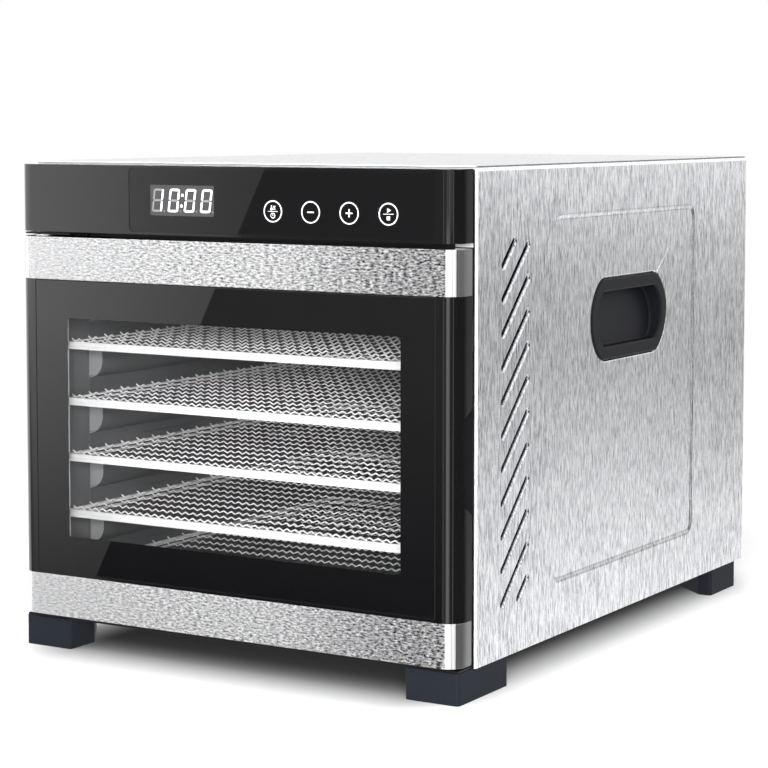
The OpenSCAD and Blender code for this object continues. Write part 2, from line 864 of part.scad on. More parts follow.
// Outline of the door and the fascia seen from above, drawn in smaller by inset at front and ends
module front_outline(inset, y_end) {
  r = front_r - inset;
  x = x_front - inset;
  translate([-(x - r), y_front + inset]) square([2 * (x - r), y_end - y_front - inset]);
  translate([-x, y_pivot]) square([2 * x, y_end - y_pivot]);
  intersection() {
    for (side = [-1, 1])
      translate([side * x_pivot, y_pivot]) circle(r);
    translate([-x_front, y_front]) square([2 * x_front, y_end - y_front]);
  }
}

module control_fascia() {
  y_step = y_shell - fascia_gap;
  x_plug = x_side - hem_t - plug_gap;
  z1 = z_fascia + fascia_h;
  color("#17181a") difference() {
    union() {
      translate([0, 0, z_fascia]) linear_extrude(fascia_h) front_outline(0, y_step);
      box([-x_plug, y_step - eps, z_fascia], [x_plug, y_frame, z1 - hem_t]);
    }
    translate([0, 0, z_fascia + fascia_wall]) linear_extrude(fascia_h - 2 * fascia_wall - hem_t)
      intersection() {
        front_outline(fascia_wall, y_frame + cut);
        translate([-x_plug + fascia_wall, y_front]) square([2 * (x_plug - fascia_wall), total_d]);
      }
    along_y(y_front - cut, panel_t + cut) panel_outline(glass_clear);
    along_y(y_front - cut, panel_t + fascia_wall + 2 * cut) panel_outline(-panel_ledge);
  }
}

module panel_outline(grow) {
  w = panel_w / 2 + grow;
  h = panel_h / 2 + grow;
  round_rect([panel_x - w, z_panel - h], [panel_x + w, z_panel + h], max(panel_r + grow, 1));
}

module control_glass() {
  color("#0c0c0e") along_y(y_front, panel_t) panel_outline(0);
}

module display_module() {
  w = display_w / 2;
  h = display_h / 2;
  color("#3a3b3d")
    box([display_x - w, y_glass_back + seat_gap, z_display - h], [display_x + w, y_board, z_display + h]);
}

module control_board() {
  w = panel_w / 2 - panel_ledge - 1;
  h = panel_h / 2 - panel_ledge - 1;
  color("#1d5b34") {
    box([panel_x - w, y_board, z_panel - h], [panel_x + w, y_board + board_t, z_panel + h]);
    for (n = [0:3])
      rod_y(key_x + n * key_pitch, y_glass_back + seat_gap, z_key, key_r, board_back - seat_gap + eps);
    for (side = [-1, 1])
      rod_y(panel_x + side * (w - 6), y_board + board_t - eps, z_panel, 3, y_frame - y_board - board_t);
  }
}

power_y = y_frame + power_back;
z_power = chamber_z1 + sheet + power_gap;

// A part on the power board: its size, and its middle in shares of the board's width and depth
module on_board(size, across, along) {
  translate([(across - 0.5) * power_w - size[0] / 2, power_y + along * power_d - size[1] / 2,
    z_power + board_t - eps]) cube(size);
}

module power_board() {
  color("#2a6b3c") difference() {
    union() {
      box([-power_w / 2, power_y, z_power], [power_w / 2, power_y + power_d, z_power + board_t]);
      on_board(transformer, 0.22, 0.3);
      on_board(relay, 0.5, 0.22);
      on_board(heat_sink, 0.76, 0.45);
      on_board(terminal_block, terminal_share, 1 - terminal_block[1] / 2 / power_d - 0.02);
      translate([0, power_y + 0.62 * power_d, z_power + board_t - eps])
        cylinder(r = capacitor_r, h = capacitor_h);
    }
    standoff_rods(screw_r + press_gap, z_power - cut, board_t + 2 * cut);
  }
}

terminal_share = 0.22;   // where the terminal block stands across the power board

module standoff_rods(r, z, len) {
  inset = power_edge / 2;
  for (x = [-1, 1], y = [inset, power_d - inset])
    translate([x * (power_w / 2 - inset), power_y + y, z]) cylinder(r = r, h = len);
}

module board_standoffs() {
  color("ivory") {
    standoff_rods(screw_r + 1.5, chamber_z1 + sheet, power_gap);
    standoff_rods(screw_r, z_power - 1, board_t + 3);
  }
}

// Loom from the gland up behind the bulkhead and forward to the power board
module wiring_loom() {
  y_riser = y_bulkhead + sheet + motor_bay / 2;
  z_run = z_power + 5 * loom_r;
  y_end = power_y + power_d - 0.02 * power_d;
  x_end = (terminal_share - 0.5) * power_w;
  z_end = z_power + board_t + terminal_block[2] / 2;
  y_turn = y_end + 4 * loom_r;
  knots = [[cord_x, y_panel - gland_in, z_cord], [cord_x, y_riser, z_cord], [cord_x, y_riser, z_run],
    [x_end, y_riser, z_run], [x_end, y_turn, z_run], [x_end, y_turn, z_end], [x_end, y_end, z_end]];
  color("#303236") {
    for (k = [0:len(knots) - 2])
      straight_lead(knots[k], knots[k + 1], loom_r);
    for (k = [1:len(knots) - 2])
      translate(knots[k]) sphere(loom_r + 0.3);
  }
}

// A lead along one axis between two points
module straight_lead(a, b, r) {
  d = b - a;
  len = norm(d);
  turn = abs(d[0]) > eps ? [0, sign(d[0]) * 90, 0] : abs(d[1]) > eps ? [-sign(d[1]) * 90, 0, 0]
    : [d[2] > 0 ? 0 : 180, 0, 0];
  translate(a) rotate(turn) cylinder(r = r, h = len);
}

// ---------- feet ----------

// Feet are solid blocks with one inner corner cut off; screws pass up into the base pan
function front_foot_points() = let (x0 = x_side - foot_in - foot_w, x1 = x_side - foot_in, y = front_foot_y)
  [[x0, y], [x1, y], [x1, y + front_foot_long], [x1 - 6, y + front_foot_long], [x0, y + front_foot_short]];
function rear_foot_points() = let (x0 = x_side - foot_in - foot_w, x1 = x_side - foot_in, y = rear_foot_y)
  [[x0, y], [x1, y], [x1, y - rear_foot_long], [x1 - 6, y - rear_foot_long], [x0, y - rear_foot_short]];
function foot_screw_spots() = [
  [x_side - foot_in - 16, front_foot_y + front_foot_short + 6],
  [x_side - foot_in - 16, rear_foot_y - rear_foot_short + 6]];

module foot(points, spot) {
  middle = [for (k = [0, 1]) (points[0][k] + points[1][k] + points[2][k] + points[4][k]) / 4];
  color("#2a2c33") difference() {
    hull()
      for (p = points)
        translate([p[0] + foot_r * sign(middle[0] - p[0]), p[1] + foot_r * sign(middle[1] - p[1]), 0])
          cylinder(r = foot_r, h = foot_h, $fn = 32);
    translate([spot[0], spot[1], -cut]) cylinder(r = screw_r + press_gap, h = foot_h + 2 * cut);
    translate([spot[0], spot[1], -cut]) cylinder(r = screw_head_r + press_gap, h = cut + foot_recess);
  }
}

foot_recess = 9;         // depth of the hole that the foot's screw head sits in

module front_right_foot() {
  foot(front_foot_points(), foot_screw_spots()[0]);
}

module front_left_foot() {
  mirror([1, 0, 0]) foot(front_foot_points(), foot_screw_spots()[0]);
}

module rear_right_foot() {
  foot(rear_foot_points(), foot_screw_spots()[1]);
}

module rear_left_foot() {
  mirror([1, 0, 0]) foot(rear_foot_points(), foot_screw_spots()[1]);
}

module foot_holes(r) {
  both_sides()
    for (spot = foot_screw_spots())
      translate([spot[0], spot[1], z_low - cut]) cylinder(r = r, h = pan_t + 2 * cut);
}

module foot_screws() {
  color("silver") both_sides()
    for (spot = foot_screw_spots()) {
      translate([spot[0], spot[1], foot_recess]) cylinder(r = screw_r, h = z_pan + 4 - foot_recess);
      translate([spot[0], spot[1], foot_recess - screw_head_t]) cylinder(r = screw_head_r, h = screw_head_t);
    }
}

// ---------- door ----------

// The door seen from above: its hung end is round about the hinge line, so that it clears the frame
module door_outline(inset) {
  r = front_r - inset;
  translate([x_pivot, y_front + inset]) square([-2 * x_pivot, door_t - inset]);
  intersection() {
    translate([x_pivot, y_pivot]) circle(r);
    translate([-x_front - cut, y_front]) square([2 * front_r, door_t]);
  }
  translate([-x_pivot, y_pivot]) circle(r);
  translate([-x_pivot, y_pivot]) square([r, y_door_back - y_pivot]);
}

module trim(z, h) {
  translate([0, 0, z]) linear_extrude(h) difference() {
    door_outline(0);
    door_outline(trim_t);
    translate([-x_front, y_plate - eps]) square([2 * x_front, door_t]);
  }
}

module door_top_trim() {
  color("gainsboro") trim(z_door_top - top_trim_h, top_trim_h);
}

module door_bottom_trim() {
  color("gainsboro") trim(z_door, low_trim_h);
}

module grip_cut() {
  h = grip_h / 2;
  translate([x_front - grip_in, 0, z_grip]) rotate([90, 0, 90]) linear_extrude(grip_in + cut)
    polygon([[y_door_back + cut, -h], [y_door_back + cut, h],
      [y_door_back - grip_d, h - grip_slant], [y_door_back - grip_d, -h + grip_slant]]);
}

// The door's opening, which widens behind the glass
module window_cut() {
  y_ledge = y_front + glass_t + ledge_t;
  box([-window_x, y_front - cut, window_z0], [window_x, y_ledge, window_z1]);
  hull() {
    box([-window_x, y_ledge - eps, window_z0], [window_x, y_ledge, window_z1]);
    box([-window_x - splay_x, y_door_back, window_z0 - splay_z],
      [window_x + splay_x, y_door_back + cut, window_z1 + splay_z]);
  }
}

module bush_bores(r) {
  for (z = [z_door - cut, z_door_top - bush_l])
    translate([x_pivot, y_pivot, z]) cylinder(r = r, h = bush_l + cut);
}

module door_frame() {
  color("#141416") difference() {
    translate([0, 0, z_door]) linear_extrude(z_door_top - z_door) intersection() {
      door_outline(0);
      translate([-x_front, y_front]) square([2 * x_front, y_plate - y_front]);
    }
    for (band = [[z_door - cut, low_trim_h + cut], [z_door_top - top_trim_h, top_trim_h + cut]])
      translate([0, 0, band[0]]) linear_extrude(band[1]) difference() {
        translate([-x_front - cut, y_front - cut]) square([2 * (x_front + cut), door_t + cut]);
        door_outline(trim_t);
      }
    box([-glass_x - glass_clear, y_front - cut, glass_z0 - glass_clear],
      [glass_x + glass_clear, y_front + glass_t, glass_z1 + glass_clear]);
    window_cut();
    grip_cut();
    bush_bores(pin_r + run_gap + bush_wall);
    door_screw_rods(door_screw_r + press_gap, y_door_back - door_screw_l - cut, door_screw_l);
  }
}

module door_glass() {
  color([0.1, 0.1, 0.12, 0.5])
    box([-glass_x, y_front, glass_z0], [glass_x, y_front + glass_t, glass_z1]);
}

module door_back_plate() {
  color("#2b2c30") difference() {
    translate([0, 0, z_door + plate_inset]) linear_extrude(z_door_top - z_door - 2 * plate_inset)
      intersection() {
        door_outline(plate_inset);
        translate([-x_front, y_plate]) square([2 * x_front, plate_t]);
      }
    window_cut();
    grip_cut();
    door_screw_rods(door_screw_r + press_gap, y_plate - cut, plate_t + 2 * cut);
    door_screw_rods(door_screw_head_r + press_gap, y_door_back - door_screw_head_t,
      door_screw_head_t + cut);
  }
}

module door_screw_rods(r, y, len) {
  x = (window_x + gasket_x) / 2;
  for (side = [-1, 0, 1], z = [window_z0 - door_screw_edge, window_z1 + door_screw_edge])
    rod_y(side * x, y, z, r, len);
}

module door_screws() {
  color("silver") {
    door_screw_rods(door_screw_r, y_door_back - door_screw_l, door_screw_l - door_screw_head_t + eps);
    door_screw_rods(door_screw_head_r, y_door_back - door_screw_head_t, door_screw_head_t);
  }
}

module door_gasket() {
  z0 = chamber_z0 - gasket_edge - gasket_w;
  z1 = chamber_z1 + gasket_edge + gasket_w;
  color("#3d3e42") along_y(y_door_back, y_frame - seat_gap - y_door_back) difference() {
    round_rect([-gasket_x - gasket_w, z0], [gasket_x + gasket_w, z1], gasket_r);
    round_rect([-gasket_x, z0 + gasket_w], [gasket_x, z1 - gasket_w], gasket_r - gasket_w);
  }
}

module hinge_bush() {
  difference() {
    union() {
      translate([0, 0, -eps]) cylinder(r = pin_r + run_gap + bush_wall - press_gap, h = bush_l - press_gap);
      translate([0, 0, -bush_flange_t]) cylinder(r = bush_flange_r, h = bush_flange_t);
    }
    translate([0, 0, -2 * cut]) cylinder(r = pin_r + run_gap, h = bush_l + 4 * cut);
  }
}

module hinge_bushes() {
  color("ivory") {
    translate([x_pivot, y_pivot, z_door]) hinge_bush();
    translate([x_pivot, y_pivot, z_door_top]) mirror([0, 0, 1]) hinge_bush();
  }
}

module hinge_pins() {
  color("silver") {
    translate([x_pivot, y_pivot, z_low]) cylinder(r = pin_r, h = z_door + bush_l - 1 - z_low);
    translate([x_pivot, y_pivot, z_door_top - bush_l + 1])
      cylinder(r = pin_r, h = z_bracket + bracket_t + pin_head_t - z_door_top + bush_l - 1);
    translate([x_pivot, y_pivot, z_bracket + bracket_t]) cylinder(r = pin_head_r, h = pin_head_t);
  }
}

module upper_hinge_bracket() {
  x0 = x_pivot - 9;
  x1 = x_pivot + 28;
  flange_h = 7;
  color("#2b2c30") difference() {
    union() {
      box([x0, y_pivot - 7, z_bracket], [x1, y_frame, z_bracket + bracket_t]);
      box([x_pivot + 8, y_frame - bracket_t, z_bracket + bracket_t - flange_h],
        [x1, y_frame, z_bracket + bracket_t]);
    }
    translate([x_pivot, y_pivot, z_bracket - cut])
      cylinder(r = pin_r + press_gap, h = bracket_t + 2 * cut);
  }
}

// Blocks where the two catches sit, grown all round by grow
module catch_blocks(y, len, grow) {
  for (z = catch_z)
    box([catch_x - grow, y, z - catch_h / 2 - grow], [catch_x + catch_w + grow, y + len, z + catch_h / 2 + grow]);
}

module door_strikes() {
  color("silver") catch_blocks(y_door_back, strike_t, 0);
}

module door_magnets() {
  color("#3a3b3d") catch_blocks(y_door_back + strike_t + seat_gap, magnet_d, 0);
}

// ---------- the nodes ----------

outer_shell();
base_pan();
front_frame();
rear_panel();
rear_vent_cover();
chamber_liner();
rear_bulkhead();
left_rack();
right_rack();
fan_guard();
control_fascia();
control_glass();
display_module();
control_board();
power_board();
board_standoffs();
wiring_loom();
temperature_probe();
thermal_cutout();
heater_element();
heater_clips();
fan_motor();
motor_bracket();
fan_shaft();
fan_impeller();
fan_nut();
left_handle_cup();
right_handle_cup();
front_left_foot();
front_right_foot();
rear_left_foot();
rear_right_foot();
foot_screws();
rear_screws();
cord_gland();
upper_hinge_bracket();
hinge_pins();
door_frame();
door_glass();
door_top_trim();
door_bottom_trim();
door_back_plate();
door_gasket();
hinge_bushes();
door_strikes();
door_magnets();
door_screws();
for (i = [1:tray_count]) {
  tray_rim(i);
  tray_mesh(i);
}
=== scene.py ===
"""Front-door food dehydrator: finishes, fine pieces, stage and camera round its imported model."""

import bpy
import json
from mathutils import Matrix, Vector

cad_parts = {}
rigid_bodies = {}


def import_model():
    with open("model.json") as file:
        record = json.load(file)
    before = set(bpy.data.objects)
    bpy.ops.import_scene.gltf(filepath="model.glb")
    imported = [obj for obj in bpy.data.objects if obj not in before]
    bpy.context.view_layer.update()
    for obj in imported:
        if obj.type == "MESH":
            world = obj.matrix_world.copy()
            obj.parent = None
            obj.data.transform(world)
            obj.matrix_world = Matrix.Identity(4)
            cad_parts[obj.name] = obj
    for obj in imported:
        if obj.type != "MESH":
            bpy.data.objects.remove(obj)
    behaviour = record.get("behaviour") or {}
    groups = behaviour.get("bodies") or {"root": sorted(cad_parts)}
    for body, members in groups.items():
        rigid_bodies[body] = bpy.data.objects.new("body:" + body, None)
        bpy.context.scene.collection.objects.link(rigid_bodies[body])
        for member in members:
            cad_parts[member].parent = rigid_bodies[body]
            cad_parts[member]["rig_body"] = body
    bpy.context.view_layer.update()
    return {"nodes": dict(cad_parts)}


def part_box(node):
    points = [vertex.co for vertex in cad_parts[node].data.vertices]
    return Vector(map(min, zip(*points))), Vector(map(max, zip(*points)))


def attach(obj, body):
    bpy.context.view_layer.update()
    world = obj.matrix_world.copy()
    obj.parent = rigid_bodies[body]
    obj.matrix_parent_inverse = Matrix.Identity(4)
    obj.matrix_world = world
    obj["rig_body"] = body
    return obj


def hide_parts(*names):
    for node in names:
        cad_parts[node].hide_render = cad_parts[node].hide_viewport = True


bl_info = {
    "name": "Food dehydrator",
    "version": (1, 0, 0),
    "blender": (4, 5, 0),
    "location": "3D View > Sidebar > Dehydrator",
    "description": "Builds the finishes and fine pieces of a front-door food dehydrator",
    "category": "Object",
}

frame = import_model()

import json
import math

import bmesh
import bpy
from mathutils import Matrix, Vector

MM = 0.001
WHITE = (1.0, 1.0, 1.0)


# --- sizes and colours ---

def size(name, description, default):
    return bpy.props.FloatProperty(name=name, description=description + ", mm", default=default,
                                   min=0.0)


def colour(name, description, default):
    return bpy.props.FloatVectorProperty(name=name, description=description, default=default,
                                         subtype="COLOR", size=3, min=0.0, max=1.0)


class DehydratorSizes(bpy.types.PropertyGroup):
    hem_t: size("Hem thickness", "Thickness of the shell's rolled front hem", 2.2)
    hem_w: size("Hem depth", "Depth of the shell's rolled front hem, front to back", 2.7)
    sheet: size("Sheet", "Thickness of the shell's sheet", 0.7)
    corner_r: size("Shell corner", "Radius of the shell's two upper edges", 3.0)
    recess_front: size("Recess from the front", "From the shell's front edge to the recess", 100.5)
    recess_rear: size("Recess from the back", "From the recess to the shell's rear edge", 94.5)
    recess_low: size("Recess from below", "From the shell's lower edge to the recess", 33.5)
    recess_high: size("Recess from above", "From the recess to the top of the shell", 32.4)
    recess_slope: size("Recess slope", "Run of the side recess's sloping wall", 3.8)
    recess_depth: size("Recess depth", "Depth of the side recess", 0.8)
    seat_depth: size("Seat depth", "Depth of the handle's pocket below the recess", 2.2)
    bezel_end_r: size("Handle end radius", "Radius of the handle's curved ends", 30.0)
    vent_front: size("Vents from the front", "From the shell's front edge to the vents", 33.8)
    vent_run: size("Vent run", "Run of a slanted vent towards the back", 32.0)
    vent_pitch: size("Vent pitch", "Height from one vent to the next", 21.0)
    vent_w: size("Vent width", "Width of a slanted vent", 3.8)
    lip_depth: size("Vent lip", "How far a vent's lip is drawn inwards", 1.6)
    rim_w: size("Tray rim", "Width of a tray's rim strip", 3.0)
    crimp: size("Crimp length", "Length of one wave of a tray's crimped wire", 6.15)
    crimp_height: size("Crimp height", "Height of the wave, middle to crest", 0.85)
    runner_drop: size("Runner height", "Straight height of a rack runner's inner face", 10.0)
    wire_r: size("Wire radius", "Radius of a tray's crimped wires", 0.6)
    wire_gap: size("Wire spacing", "Distance from one crimped wire to the next", 18.2)
    window_w: size("Window width", "Width of the door glass's clear part", 254.6)
    window_x: size("Window place", "How far the clear part lies right of the glass's middle", 1.1)
    window_h: size("Window height", "Height of the door glass's clear part", 145.0)
    digit_w: size("Digit width", "Width of a digit on the display", 7.9)
    digit_h: size("Digit height", "Height of a digit on the display", 14.8)
    digit_pitch: size("Digit pitch", "Distance from one digit to the next", 12.6)
    digit_line: size("Digit line", "Width of a digit's bars", 1.3)
    key_ring_r: size("Key ring", "Outer radius of the ring round a touch key", 6.85)


class DehydratorColours(bpy.types.PropertyGroup):
    shell: colour("Shell steel", "Brushed steel of the outer shell", (0.72, 0.735, 0.76))
    trim: colour("Trim steel", "Brushed steel of the door's two bands", (0.72, 0.72, 0.73))
    tray: colour("Tray steel", "Bright steel of the trays", (0.97, 0.97, 0.975))
    chamber: colour("Chamber steel", "Steel of the drying chamber", (0.21, 0.213, 0.217))
    black: colour("Black", "Gloss black of the fascia and the door", (0.0035, 0.0035, 0.004))
    handle: colour("Handle plastic", "Matte plastic of the two handles", (0.0085, 0.009, 0.012))
    foot: colour("Foot plastic", "Plastic of the feet", (0.0145, 0.017, 0.023))
    lit: colour("Lit display", "Light of the display's lit segments", WHITE)


# --- node maths ---

def sum_method(operation, swapped=False):
    """A method that adds a Math node, with its two values swapped for a reflected operator."""
    def method(self, *others):
        return self.maths(operation, *((*others, self) if swapped else (self, *others)))
    return method


class Value:
    """A node's output that takes part in Python arithmetic."""

    def __init__(self, finish, socket):
        self.finish, self.socket = finish, socket

    def maths(self, operation, *values):
        return self.finish.add("Math", {"operation": operation}, dict(enumerate(values)))

    __add__ = __radd__ = sum_method("ADD")
    __mul__ = __rmul__ = sum_method("MULTIPLY")
    __sub__, __rsub__ = sum_method("SUBTRACT"), sum_method("SUBTRACT", True)
    __truediv__, __rtruediv__ = sum_method("DIVIDE"), sum_method("DIVIDE", True)
    __gt__, __lt__ = sum_method("GREATER_THAN"), sum_method("LESS_THAN")
    __abs__, root = sum_method("ABSOLUTE"), sum_method("SQRT")
    highest = sum_method("MAXIMUM")

    def ramp(self, low, high):
        """0 at low and under, 1 at high and over, with a soft start and end."""
        return self.finish.add("MapRange", {"interpolation_type": "SMOOTHSTEP"},
                               {0: self, 1: low, 2: high, 3: 0.0, 4: 1.0})


class Finish:
    """The node tree of one material, or of the world, while it is written."""

    def __init__(self, name, tree=None):
        if tree is None:
            self.material = bpy.data.materials.new(name)
            self.material.use_nodes = True
            tree = self.material.node_tree
        self.tree = tree
        tree.nodes.clear()

    def add(self, kind, settings=None, inputs=None, output=0):
        """Any node: its settings are set first, then its sockets' values or links."""
        node = self.tree.nodes.new("ShaderNode" + kind)
        for key, setting in (settings or {}).items():
            if key == "stops":
                ramp = node.color_ramp
                while len(ramp.elements) < len(setting):
                    ramp.elements.new(0.5)
                for element, (place, stop) in zip(ramp.elements, setting):
                    element.position = place
                    element.color = (*stop, 1.0)
            else:
                setattr(node, key, setting)
        for key, value in (inputs or {}).items():
            self.feed(node.inputs[key], value)
        return Value(self, node.outputs[output]) if len(node.outputs) else node

    def feed(self, socket, value):
        if isinstance(value, Value):
            self.tree.links.new(value.socket, socket)
        elif socket.type == "RGBA" and len(value) == 3:
            socket.default_value = (*value, 1.0)
        else:
            socket.default_value = value

    def place(self):
        return self.add("TexCoord", output="Object")

    def axes(self):
        place = self.place()
        return [self.add("SeparateXYZ", None, {0: place}, k) for k in range(3)]

    def noise(self, scale, stretch=(1, 1, 1), detail=2.0, rough=0.5):
        """Noise of this many features a metre, finer along an axis where stretch is more."""
        place = self.add("Mapping", None, {0: self.place(), 3: stretch})
        return self.add("TexNoise", None, {"Vector": place, "Scale": scale, "Detail": detail,
                                           "Roughness": rough})

    def mix(self, factor, a, b):
        return self.add("Mix", {"data_type": "RGBA"}, {0: factor, 6: a, 7: b}, 2)

    def tint(self, base, amount):
        """A colour made lighter or darker by a value round 1."""
        grey = self.add("CombineXYZ", None, {0: amount, 1: amount, 2: amount})
        return self.add("VectorMath", {"operation": "MULTIPLY"}, {0: grey, 1: tuple(base)})

    def bump(self, height, distance, strength=0.5):
        return self.add("Bump", None, {"Height": height, "Distance": distance,
                                       "Strength": strength})

    def surface(self, **sockets):
        """The material, with a Principled surface that has these sockets' values or links."""
        named = {name.replace("_", " "): value for name, value in sockets.items()}
        return self.out(self.add("BsdfPrincipled", None, named))

    def out(self, surface, kind="OutputMaterial"):
        node = self.add(kind)
        self.tree.links.new(surface.socket, node.inputs[0])
        return getattr(self, "material", None)


# --- finishes ---

def shell_steel(f, base):
    """Brushed steel with an upright grain, and along its folds a painted highlight with a painted
    dark line above it.
    """
    streaks = f.noise(9.0, (80, 92, 9), 3.0, 0.7)
    fine = f.noise(16.0, (90, 110, 12), 2.0, 0.6)
    broad = f.noise(5.0, (2.0, 2.4, 0.7), 2.0)
    grain = streaks * 0.6 + fine * 0.4
    z = f.axes()[2]
    bend, top = PLACES["bend"], PLACES["top"]
    # painted highlight: the lower part of each upper fold is mixed towards white and made less
    # metallic
    crest = z.ramp(bend - 0.6 * MM, bend) * (1 - z.ramp(bend + 1.4 * MM, bend + 1.8 * MM))
    # painted dark line: the upper part of each fold, just below the top, is darkened
    painted_dark_line = z.ramp(bend + 1.7 * MM, bend + 2.1 * MM) * (1 - z.ramp(top - 0.4 * MM, top - 0.1 * MM))
    contrast, clouding = 4.8, 0.1
    brushed = 1 + (grain - 0.5) * contrast * (1 - crest) + (broad - 0.5) * clouding
    shade = brushed * (1 - painted_dark_line * 0.72)
    return f.surface(Base_Color=f.mix(crest * 0.85, f.tint(base, shade), WHITE),
                     Metallic=1.0 - crest * 0.7, Roughness=0.16 + grain * 0.12 + painted_dark_line * 0.3,
                     Normal=f.bump(grain, 0.06 * MM))


def trim_steel(f, base):
    """Steel with short mottled marks, darkened to the right by painted shade and with marks made
    stronger to the right as a painted reflection; its ends are plain and turned in, with a painted
    highlight, painted shade on the turned-in part and painted dark lines.
    """
    marks = f.noise(10.0, (30, 60, 88), 2.5, 0.6)
    fine = f.noise(20.0, (28, 60, 70), 1.0, 0.5)
    grain = marks * 0.75 + fine * 0.25
    x = f.axes()[0]
    from_end = PLACES["trim"] - abs(x)
    plain, bent = from_end < 8.7 * MM, from_end < 3.1 * MM
    groove = (abs(from_end - 5.1 * MM) < 0.35 * MM) + (abs(from_end - 3.2 * MM) < 0.3 * MM)
    # the marks' contrast grows to the right: a painted reflection
    depth = 1.3 + x.ramp(-0.19, -0.01) * 4.0
    # darker to the right: painted shade
    marks_with_painted_shade = 0.95 - x.ramp(0.02, 0.15) * 0.42 + (grain - 0.5) * depth
    # the plain ends: a painted highlight, painted shade where they turn in, and two painted dark
    # lines
    smooth = 1.32 - bent * 0.95 - groove * (0.35 + bent * 0.2)
    return f.surface(Base_Color=f.tint(base, marks_with_painted_shade * (1 - plain) + smooth * plain),
                     Metallic=0.65 + bent * 0.2, Roughness=0.24 + grain * 0.12,
                     Normal=f.bump(grain * (1 - plain), 0.4 * MM, 1.0))


def sheet_steel(f, base, roughness=0.4, metallic=0.9, spread=0.2):
    """Rolled sheet with faint clouding and hair lines."""
    clouds = f.noise(14.0, detail=3.0)
    lines = f.noise(12.0, (12, 90, 90), 2.0)
    shade = 1 - spread / 2 + clouds * spread * 0.6 + lines * spread * 0.4
    return f.surface(Base_Color=f.tint(base, shade), Metallic=metallic,
                     Roughness=roughness - 0.06 + clouds * 0.12,
                     Normal=f.bump(lines, 0.04 * MM, 0.4))


def rack_steel(f, base, front):
    """The chamber's steel on the racks, with painted light on the front ends of their runners: a
    lighter, less metallic tone there.
    """
    clouds = f.noise(14.0, detail=3.0)
    x, y, _ = f.axes()
    # painted light: the runners' front ends get the lighter front tone and less metal
    ends = (abs(x) < PLACES["rack"] - 0.8 * MM) * (y < PLACES["rack_front"] + 0.4 * MM)
    tone = f.mix(ends, f.tint(base, 0.88 + clouds * 0.24), f.tint(front, 0.9 + clouds * 0.2))
    return f.surface(Base_Color=tone, Metallic=0.5 - ends * 0.45,
                     Roughness=0.38 + clouds * 0.1, Normal=f.bump(clouds, 0.03 * MM, 0.4))


def hem_steel(f, base, side):
    """The rolled hem: a painted highlight on its front, a near-white tone with little metal, darker
    and more metallic steel behind it, and a painted dark line along its top.
    """
    marks = f.noise(240.0)
    _, y, z = f.axes()
    behind = y > PLACES["hem"] + 1.3 * MM
    painted_dark_line = abs(z - PLACES["top"] + 1.05 * MM) < 0.3 * MM
    # painted highlight: the near-white front with little metal; painted dark line along the top
    tone = f.mix(behind, f.tint(base, (0.95 + marks * 0.1) * (1 - painted_dark_line * 0.7)), tuple(side))
    return f.surface(Base_Color=tone, Metallic=0.25 + behind * 0.5,
                     Roughness=0.26 + marks * 0.1, Normal=f.bump(marks, 0.03 * MM))


def bright_wire(f, base, roughness=0.22, metallic=0.85):
    """Polished wire and strip, with fine drawing marks."""
    marks = f.noise(240.0)
    return f.surface(Base_Color=f.tint(base, 0.94 + marks * 0.12), Metallic=metallic,
                     Roughness=roughness - 0.04 + marks * 0.1, Normal=f.bump(marks, 0.03 * MM))


def moulded(f, base, roughness=0.5, grain=0.05, sheen=0.4, scale=1100.0, spread=0.3):
    """Moulded plastic with a fine spark-eroded texture, its grain's depth in millimetres."""
    texture = f.noise(scale)
    clouds = f.noise(18.0)
    shade = 1 - spread / 2 + texture * spread * 0.5 + clouds * spread * 0.5
    return f.surface(Base_Color=f.tint(base, shade), Roughness=roughness - 0.05 + clouds * 0.1,
                     Specular_IOR_Level=sheen, Normal=f.bump(texture, grain * MM))


def black_glass(f, base):
    """Polished black glass with faint smears and specks of dust."""
    smear = f.noise(22.0, detail=3.0)
    dust = f.noise(900.0, detail=1.0)
    return f.surface(Base_Color=f.tint(base, 0.8 + smear * 0.4),
                     Roughness=smear * 0.03 + (dust > 0.74) * 0.05,
                     Specular_IOR_Level=0.62)


def lacquered(f, base, coat_ior=1.6, bare=None):
    """Black under a clear lacquer that the cut ends lack, and with a painted highlight where the
    door looks through: a pale, uncoated tone on the window's reveal.
    """
    smear = f.noise(22.0, detail=3.0)
    x, _, z = f.axes()
    tone, uncoated = f.tint(base, 0.8 + smear * 0.4), abs(x) > PLACES["trim"] - 0.4 * MM
    if bare:
        # painted highlight: the pale tone on the reveal round the window
        opening = ((abs(x) < WINDOW["half_x"] + 20 * MM)
                   * (abs(z - WINDOW["z"]) < WINDOW["half_z"] + 1.2 * MM))
        tone = f.mix(opening, tone, bare)
        uncoated = uncoated.highest(opening)
    return f.surface(Base_Color=tone, Roughness=0.07 + smear * 0.03 + uncoated * 0.3,
                     Specular_IOR_Level=0.2, Coat_Weight=1 - uncoated,
                     Coat_IOR=coat_ior, Coat_Roughness=0.05,
                     Normal=f.bump(smear, 0.02 * MM, 0.3))


def door_pane(f, base):
    """Clear in the window, black where the back of the glass is painted."""
    x, y, z = f.axes()
    behind = (y > WINDOW["y"]) * WINDOW["clear"]
    inside = 1 - (abs(x - WINDOW["x"]) > behind + WINDOW["half_x"]).highest(
        abs(z - WINDOW["z"]) > behind + WINDOW["half_z"])
    smear = f.noise(30.0)
    tone = f.mix(inside, f.tint(base, 0.8 + smear * 0.4), (0.02, 0.022, 0.024))
    return f.surface(Base_Color=tone, Roughness=smear * 0.02,
                     Specular_IOR_Level=0.9, Alpha=1 - inside * 0.93)


def glow(f, base, strength):
    """A lit segment."""
    even = f.noise(160.0, detail=1.0)
    return f.surface(Base_Color=tuple(base), Roughness=0.4,
                     Emission_Color=f.tint(base, 0.95 + even * 0.1),
                     Emission_Strength=strength)


